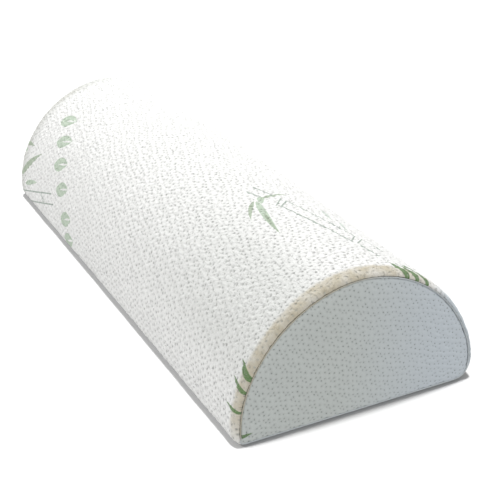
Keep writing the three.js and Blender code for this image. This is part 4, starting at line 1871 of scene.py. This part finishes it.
@dataclass
class Filling:
    """The foam block and the thin liner bag round it."""

    section: Section
    foam_inset: float = 8.3
    liner_inset: float = 7.0
    liner_thickness: float = 0.9
    edge_round: float = 3.0
    columns: int = 180
    cap_scales: tuple[float, ...] = (0.93, 0.8, 0.62, 0.42, 0.2)

    def rings(self, x: Array, inset: Array) -> Array:
        """Rings of the section drawn in by inset at each x.

        Args:
            x: Places along the pillow.
            inset: How far the section is drawn in at each.

        Returns:
            The points, as (x, columns, 3).
        """
        place = np.arange(self.columns) * self.section.girth / self.columns
        outline = self.section.inset(np.broadcast_to(place, (len(x), self.columns)), inset[:, None])
        run = np.broadcast_to(x[:, None, None], (len(x), self.columns, 1))
        return np.concatenate([run, outline], 2)

    def cap(self, sewing: Sewing, ring: Array, points: Array, flip: bool) -> None:
        """Closes a ring with smaller and smaller rings and a closed middle.

        Args:
            sewing: What the faces are added to.
            ring: The ring's vertex numbers.
            points: Its points.
            flip: Whether the faces look the other way.
        """
        middle = points.mean(0)
        for scale in self.cap_scales:
            inner = sewing.add(middle + (points - middle) * scale)
            sewing.grid(closed_columns(np.stack([ring, inner])), flip=flip)
            ring = inner
        sewing.fan(ring, int(sewing.add(middle[None])[0]), flip=not flip)

    def foam(self, material: Material) -> Piece:
        """The foam block: its edges are round and its cut faces slightly uneven.

        Args:
            material: What it is dressed in.

        Returns:
            The finished block.
        """
        low, high = box_of("foam_core")
        turn = np.linspace(0, math.pi / 2, 6)
        soft = self.edge_round
        round_x = high[0] - soft + soft * np.sin(turn)
        x = np.concatenate([-round_x[::-1], np.linspace(-240, 240, 97), round_x])
        inset = self.foam_inset + np.interp(np.abs(x), round_x, soft * (1 - np.cos(turn)))
        points = self.rings(x, inset)
        y, z = points[..., 1], points[..., 2]
        uneven = 0.12 * np.sin(points[..., 0] / 9.0 + y / 7.0) * np.sin(z / 6.0 + y / 11.0) - 0.12
        points = points + normals_of(points, ring=True) * uneven[..., None]
        sewing = Sewing()
        index = sewing.add(points)
        sewing.grid(closed_columns(index))
        self.cap(sewing, index[0], points[0], flip=True)
        self.cap(sewing, index[-1], points[-1], flip=False)
        made = sewing.build("foam_block")
        finish_piece(made, material, nodes=("foam_core",))
        return made

    def sleeve(self, material: Material) -> Piece:
        """The liner's sleeve: two skins a cloth's thickness apart, with fine wrinkles.

        Args:
            material: What it is dressed in.

        Returns:
            The finished sleeve.
        """
        low, high = box_of("liner_body")
        x = np.linspace(low[0], high[0], 160)
        skins = []
        for depth in (0.0, self.liner_thickness):
            points = self.rings(x, np.full(len(x), self.liner_inset + depth))
            y, z = points[..., 1], points[..., 2]
            wrinkle = 0.16 * np.sin(points[..., 0] / 6.1 + 2 * np.sin(y / 30.0)) * np.sin(z / 17.0)
            skins.append(points + normals_of(points, ring=True) * wrinkle[..., None])
        sewing = Sewing()
        outer, inner = (sewing.add(skin) for skin in skins)
        sewing.grid(closed_columns(outer))
        sewing.grid(closed_columns(inner), flip=True)
        sewing.grid(closed_columns(np.stack([inner[0], outer[0]])))
        sewing.grid(closed_columns(np.stack([outer[-1], inner[-1]])))
        made = sewing.build("liner_sleeve")
        finish_piece(made, material, nodes=("liner_body",))
        return made

    def liner_end(self, side: int, material: Material) -> Piece:
        """One end of the liner: a thin D of cloth.

        Args:
            side: 1 for the end at +X and -1 for the other.
            material: What it is dressed in.

        Returns:
            The finished end.
        """
        name = end_name(side)
        low, high = box_of(f"liner_end_{name}")
        faces = sorted((low[0] + 0.05 * (side < 0), high[0] - 0.05 * (side > 0)))
        points = self.rings(np.array(faces), np.full(2, self.liner_inset + 0.05))
        sewing = Sewing()
        index = sewing.add(points)
        sewing.grid(closed_columns(index))
        self.cap(sewing, index[0], points[0], flip=True)
        self.cap(sewing, index[-1], points[-1], flip=False)
        made = sewing.build(f"liner_end_{name}_cloth")
        finish_piece(made, material, nodes=(f"liner_end_{name}",))
        return made

    def build(self, foam: Material, liner: Material) -> None:
        """Makes the block and the bag.

        Args:
            foam: The block's finish.
            liner: The bag's finish.
        """
        self.foam(foam)
        self.sleeve(liner)
        for side in (1, -1):
            self.liner_end(side, liner)


# ---- The stage ----


@dataclass(frozen=True)
class Stage:
    """A pale floor, soft light and the camera."""

    azimuth: float = 64.34
    elevation: float = 26.02
    roll: float = -1.55
    distance: float = 1.0977
    target: tuple[float, float, float] = (0.0, 0.04037, 0.01005)
    lens: float = 85.35

    def camera(self) -> None:
        """Places the camera: it looks from azimuth and elevation at target, turned by roll."""
        a, e, r = (math.radians(v) for v in (self.azimuth, self.elevation, self.roll))
        back = Vector((math.sin(a) * math.cos(e), -math.cos(a) * math.cos(e), math.sin(e)))
        right = (-back).cross(Vector((0, 0, 1))).normalized()
        up = right.cross(-back)
        right, up = right * math.cos(r) + up * math.sin(r), up * math.cos(r) - right * math.sin(r)
        data = bpy.data.cameras.new("camera")
        data.lens, data.sensor_width, data.clip_end = self.lens, 36.0, 50.0
        eye = bpy.data.objects.new("camera", data)
        place = Vector(self.target) + back * self.distance
        eye.matrix_world = Matrix.Translation(place) @ Matrix((right, up, back)).transposed().to_4x4()
        bpy.context.scene.collection.objects.link(eye)
        bpy.context.scene.camera = eye

    def floor(self) -> Piece:
        """A wide pale floor, a hair below the pillow's base.

        Returns:
            The floor.
        """
        sewing = Sewing()
        side = np.linspace(-9000, 9000, 3)
        x, y = np.meshgrid(side, side, indexing="ij")
        sewing.grid(sewing.add(np.stack([x, y, np.full(x.shape, -0.3)], -1)))
        made = sewing.build("floor", smooth=False)
        material, w, main = shader("pale floor")
        cloud = w.noise(w.place(), 1.2, 2.0)
        w.feed(main.inputs["Base Color"], w.blend(cloud, srgb(174, 174, 174), srgb(178, 178, 178)))
        main.inputs["Roughness"].default_value = 1.0
        main.inputs["Specular IOR Level"].default_value = 0.0
        made.data.materials.append(material)
        made.visible_diffuse = False
        return made

    def lamp(
        self, name: str, kind: str, power: float, towards: tuple[float, float, float], **settings: float
    ) -> Piece:
        """A lamp that shines from a direction.

        Args:
            name: The lamp's name.
            kind: SUN or AREA.
            power: Its strength.
            towards: Where it stands, seen from the pillow; an area lamp stands exactly there.
            **settings: Other settings of the lamp.

        Returns:
            The lamp's object.
        """
        data = bpy.data.lights.new(name, kind)
        data.energy = power
        for key, value in settings.items():
            setattr(data, key, value)
        made = bpy.data.objects.new(name, data)
        place = Vector(towards)
        made.location = place
        made.rotation_euler = place.to_track_quat("Z", "Y").to_euler()
        bpy.context.scene.collection.objects.link(made)
        return made

    def build(self) -> None:
        """Sets up the floor, the lamps, the surrounding light and the camera."""
        self.camera()
        floor = self.floor()
        only_floor = bpy.data.collections.new("only_floor")
        only_floor.objects.link(floor)
        all_but_floor = bpy.data.collections.new("all_but_floor")
        all_but_floor.objects.link(floor)
        all_but_floor.collection_objects[0].light_linking.link_state = "EXCLUDE"
        wash = self.lamp("floor_wash", "SUN", 5.6, (-0.03, 0.055, 1.0), angle=math.radians(6))
        fill = self.lamp("floor_fill", "SUN", 1.7, (-0.6, -1.0, 1.0), angle=math.radians(8))
        for lamp in (wash, fill):
            lamp.light_linking.receiver_collection = only_floor
        far = self.lamp("far_softbox", "AREA", 5.0, (-1.15, -0.35, 0.85), size=0.4)
        top = self.lamp("top_softbox", "AREA", 13.0, (-0.5, 0.7, 1.35), size=0.7)
        for lamp in (far, top):
            lamp.light_linking.receiver_collection = all_but_floor
        world = bpy.data.worlds.new("studio")
        world.use_nodes = True
        w = Wiring(world.node_tree)
        ground = world.node_tree.nodes["Background"]
        ground.inputs["Color"].default_value = (1.0, 1.0, 1.0, 1.0)
        _, depth, height = w.split(w.node("ShaderNodeTexCoord").outputs["Generated"])
        # A little weaker overhead, stronger from the front, and dim from straight below.
        front = w.ease(depth, -0.85, 0.1, 0.21, 0.0)
        around = w.math("ADD", w.ease(height, -0.6, 0.9, 0.87, 0.73), front)
        under = w.ease(height, -0.98, -0.55, 0.1, 1.0)
        w.feed(ground.inputs["Strength"], w.times(around, under))
        scene = bpy.context.scene
        scene.world = world
        scene.view_settings.view_transform = "Standard"


# ---- The print ----

COVER_PRINT: tuple[Mark, ...] = (
    # The spray near the open end of the zip, over the crown
    Leaf((109, 163.5), (169, 153), 5.6, Tone.SAGE, bow=-1.0),
    Leaf((132, 158.8), (169, 153), 2.6, Tone.OLIVE, bow=-0.6),
    Leaf((108, 161), (134, 146), 3.8, Tone.OLIVE, bow=-1.4),
    Leaf((107, 168), (104, 194), 3.8, Tone.OLIVE, bow=1.2),
    Leaf((103, 169), (115, 165), 6.0, Tone.SAGE, bow=0.5),
    Cane((82, 174), (104, 180), 1.5),
    Cane((88, 165), (104, 170), 1.5),
    Cane((118, 186), (190, 206), 1.3),
    Cane((126, 176), (204, 196), 1.6),
    Cane((112, 184), (125, 173), 1.3),
    Cane((118, 186), (129, 175), 1.6),
    Cane((190, 207), (203, 196), 1.1),
    Cane((196, 210), (208, 198), 1.1),
    Cane((211, 199), (231, 203), 1.6),
    Cane((196, 211), (218, 217), 1.3),
    Leaf((134, 210), (158, 205), 4.0, Tone.FAINT, bow=0.6),
    Leaf((160, 212), (182, 206), 3.4, Tone.FAINT, bow=-0.5),
    # The spray at the far end
    Leaf((-254, 25), (-212, 61), 7.4, Tone.OLIVE, bow=1.8),
    Leaf((-240, 19), (-203, 33), 5.4, Tone.SAGE, bow=0.9),
    Leaf((-259, 58.5), (-239, 61), 4.4, Tone.OLIVE, bow=0.4),
    Leaf((-259, 50), (-249, 54), 4.0, Tone.SAGE),
    Cane((-253, 7), (-159, 37), 1.4),
    Cane((-243, -1), (-150, 29), 1.4),
    Cane((-189, 28), (-181, 19), 1.4),
    Cane((-184, 29), (-176, 20), 1.1),
    # A slanting row of single leaves
    *(
        Leaf((x - 13, s - 5), (x + 14, s + 5), 7.0, Tone.SAGE, bow=bow)
        for x, s in ((-203, 105), (-180, 87), (-160, 68), (-136, 50), (-113, 28), (-104, 10))
        for bow in (3.9, -3.9)
    ),
    # Tips that run into the seam at the near end
    Leaf((262, 55), (246, 65), 5.4, Tone.LEAF, bow=0.7),
    Leaf((262, 44.5), (244, 51), 3.8, Tone.LEAF, bow=0.6),
    Leaf((262, 29), (242, 30), 3.0, Tone.LEAF, bow=0.7),
    Leaf((262, 211), (239, 204), 6.6, Tone.LEAF, bow=-0.6),
    Leaf((262, 221), (240, 212), 6.0, Tone.LEAF, bow=-0.8),
    Leaf((262, 232), (239, 218), 5.4, Tone.LEAF, bow=-1.0),
)

END_PRINT: tuple[Mark, ...] = (Leaf((-99.5, 7.0), (-87.5, 10.0), 2.9, Tone.LEAF, bow=0.4),)


def write_sizes() -> None:
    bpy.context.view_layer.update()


def main() -> None:
    """Builds the stage and the pillow, piece by piece."""
    logging.basicConfig(level=logging.INFO, format="%(message)s")
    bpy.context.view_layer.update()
    Stage().build()
    section, pattern = Section(), QuiltPattern()
    wrap = QuiltFinish(
        "white quilted knit",
        pattern,
        ground=(239, 239, 237),
        tie=(168, 172, 165),
        motifs=COVER_PRINT,
        band=True,
        tie_strength=0.72,
    ).build()
    plain_end, near_end = (
        QuiltFinish(
            name,
            pattern,
            # The ends' ground and ties are darker than the wrap's: partly their grey-green tone, partly
            # painted shade.
            ground=(201, 206, 203),
            tie=(120, 129, 122),
            motifs=motifs,
            tie_depth=0.25,
            crinkle=0.3,
            tie_size=0.62,
            cool_shade_side=True,
        )
        for name, motifs in (("pale quilted knit", ()), ("pale printed knit", END_PRINT))
    )
    thread = ThreadFinish("cream seam thread", (204, 198, 180), fades=True).build()
    white_thread = ThreadFinish("white sewing thread", (240, 238, 230)).build()
    Filling(section).build(
        FoamFinish("cream memory foam", (243, 234, 210)).build(),
        WovenFinish("white cotton liner", (244, 243, 239), pitch=0.7).build(),
    )
    cover = Cover(section, pattern)
    cover.build(wrap, {1: near_end.build(), -1: plain_end.build()}, thread, white_thread)
    Zip(
        WovenFinish("zip tape", (228, 226, 218), pitch=1.0, slant=0.0, depth=0.15).build(),
        MouldedFinish("moulded teeth", (222, 220, 210)).build(),
        MetalFinish("nickel plate", (184, 186, 188)).build(),
    ).build()
    label = WovenFinish("woven label", (246, 245, 241), pitch=0.45, slant=0.0, rough=0.6, depth=0.05)
    CareLabel(cover, label.build()).build()
    write_sizes()


if __name__ == "__main__":
    main()
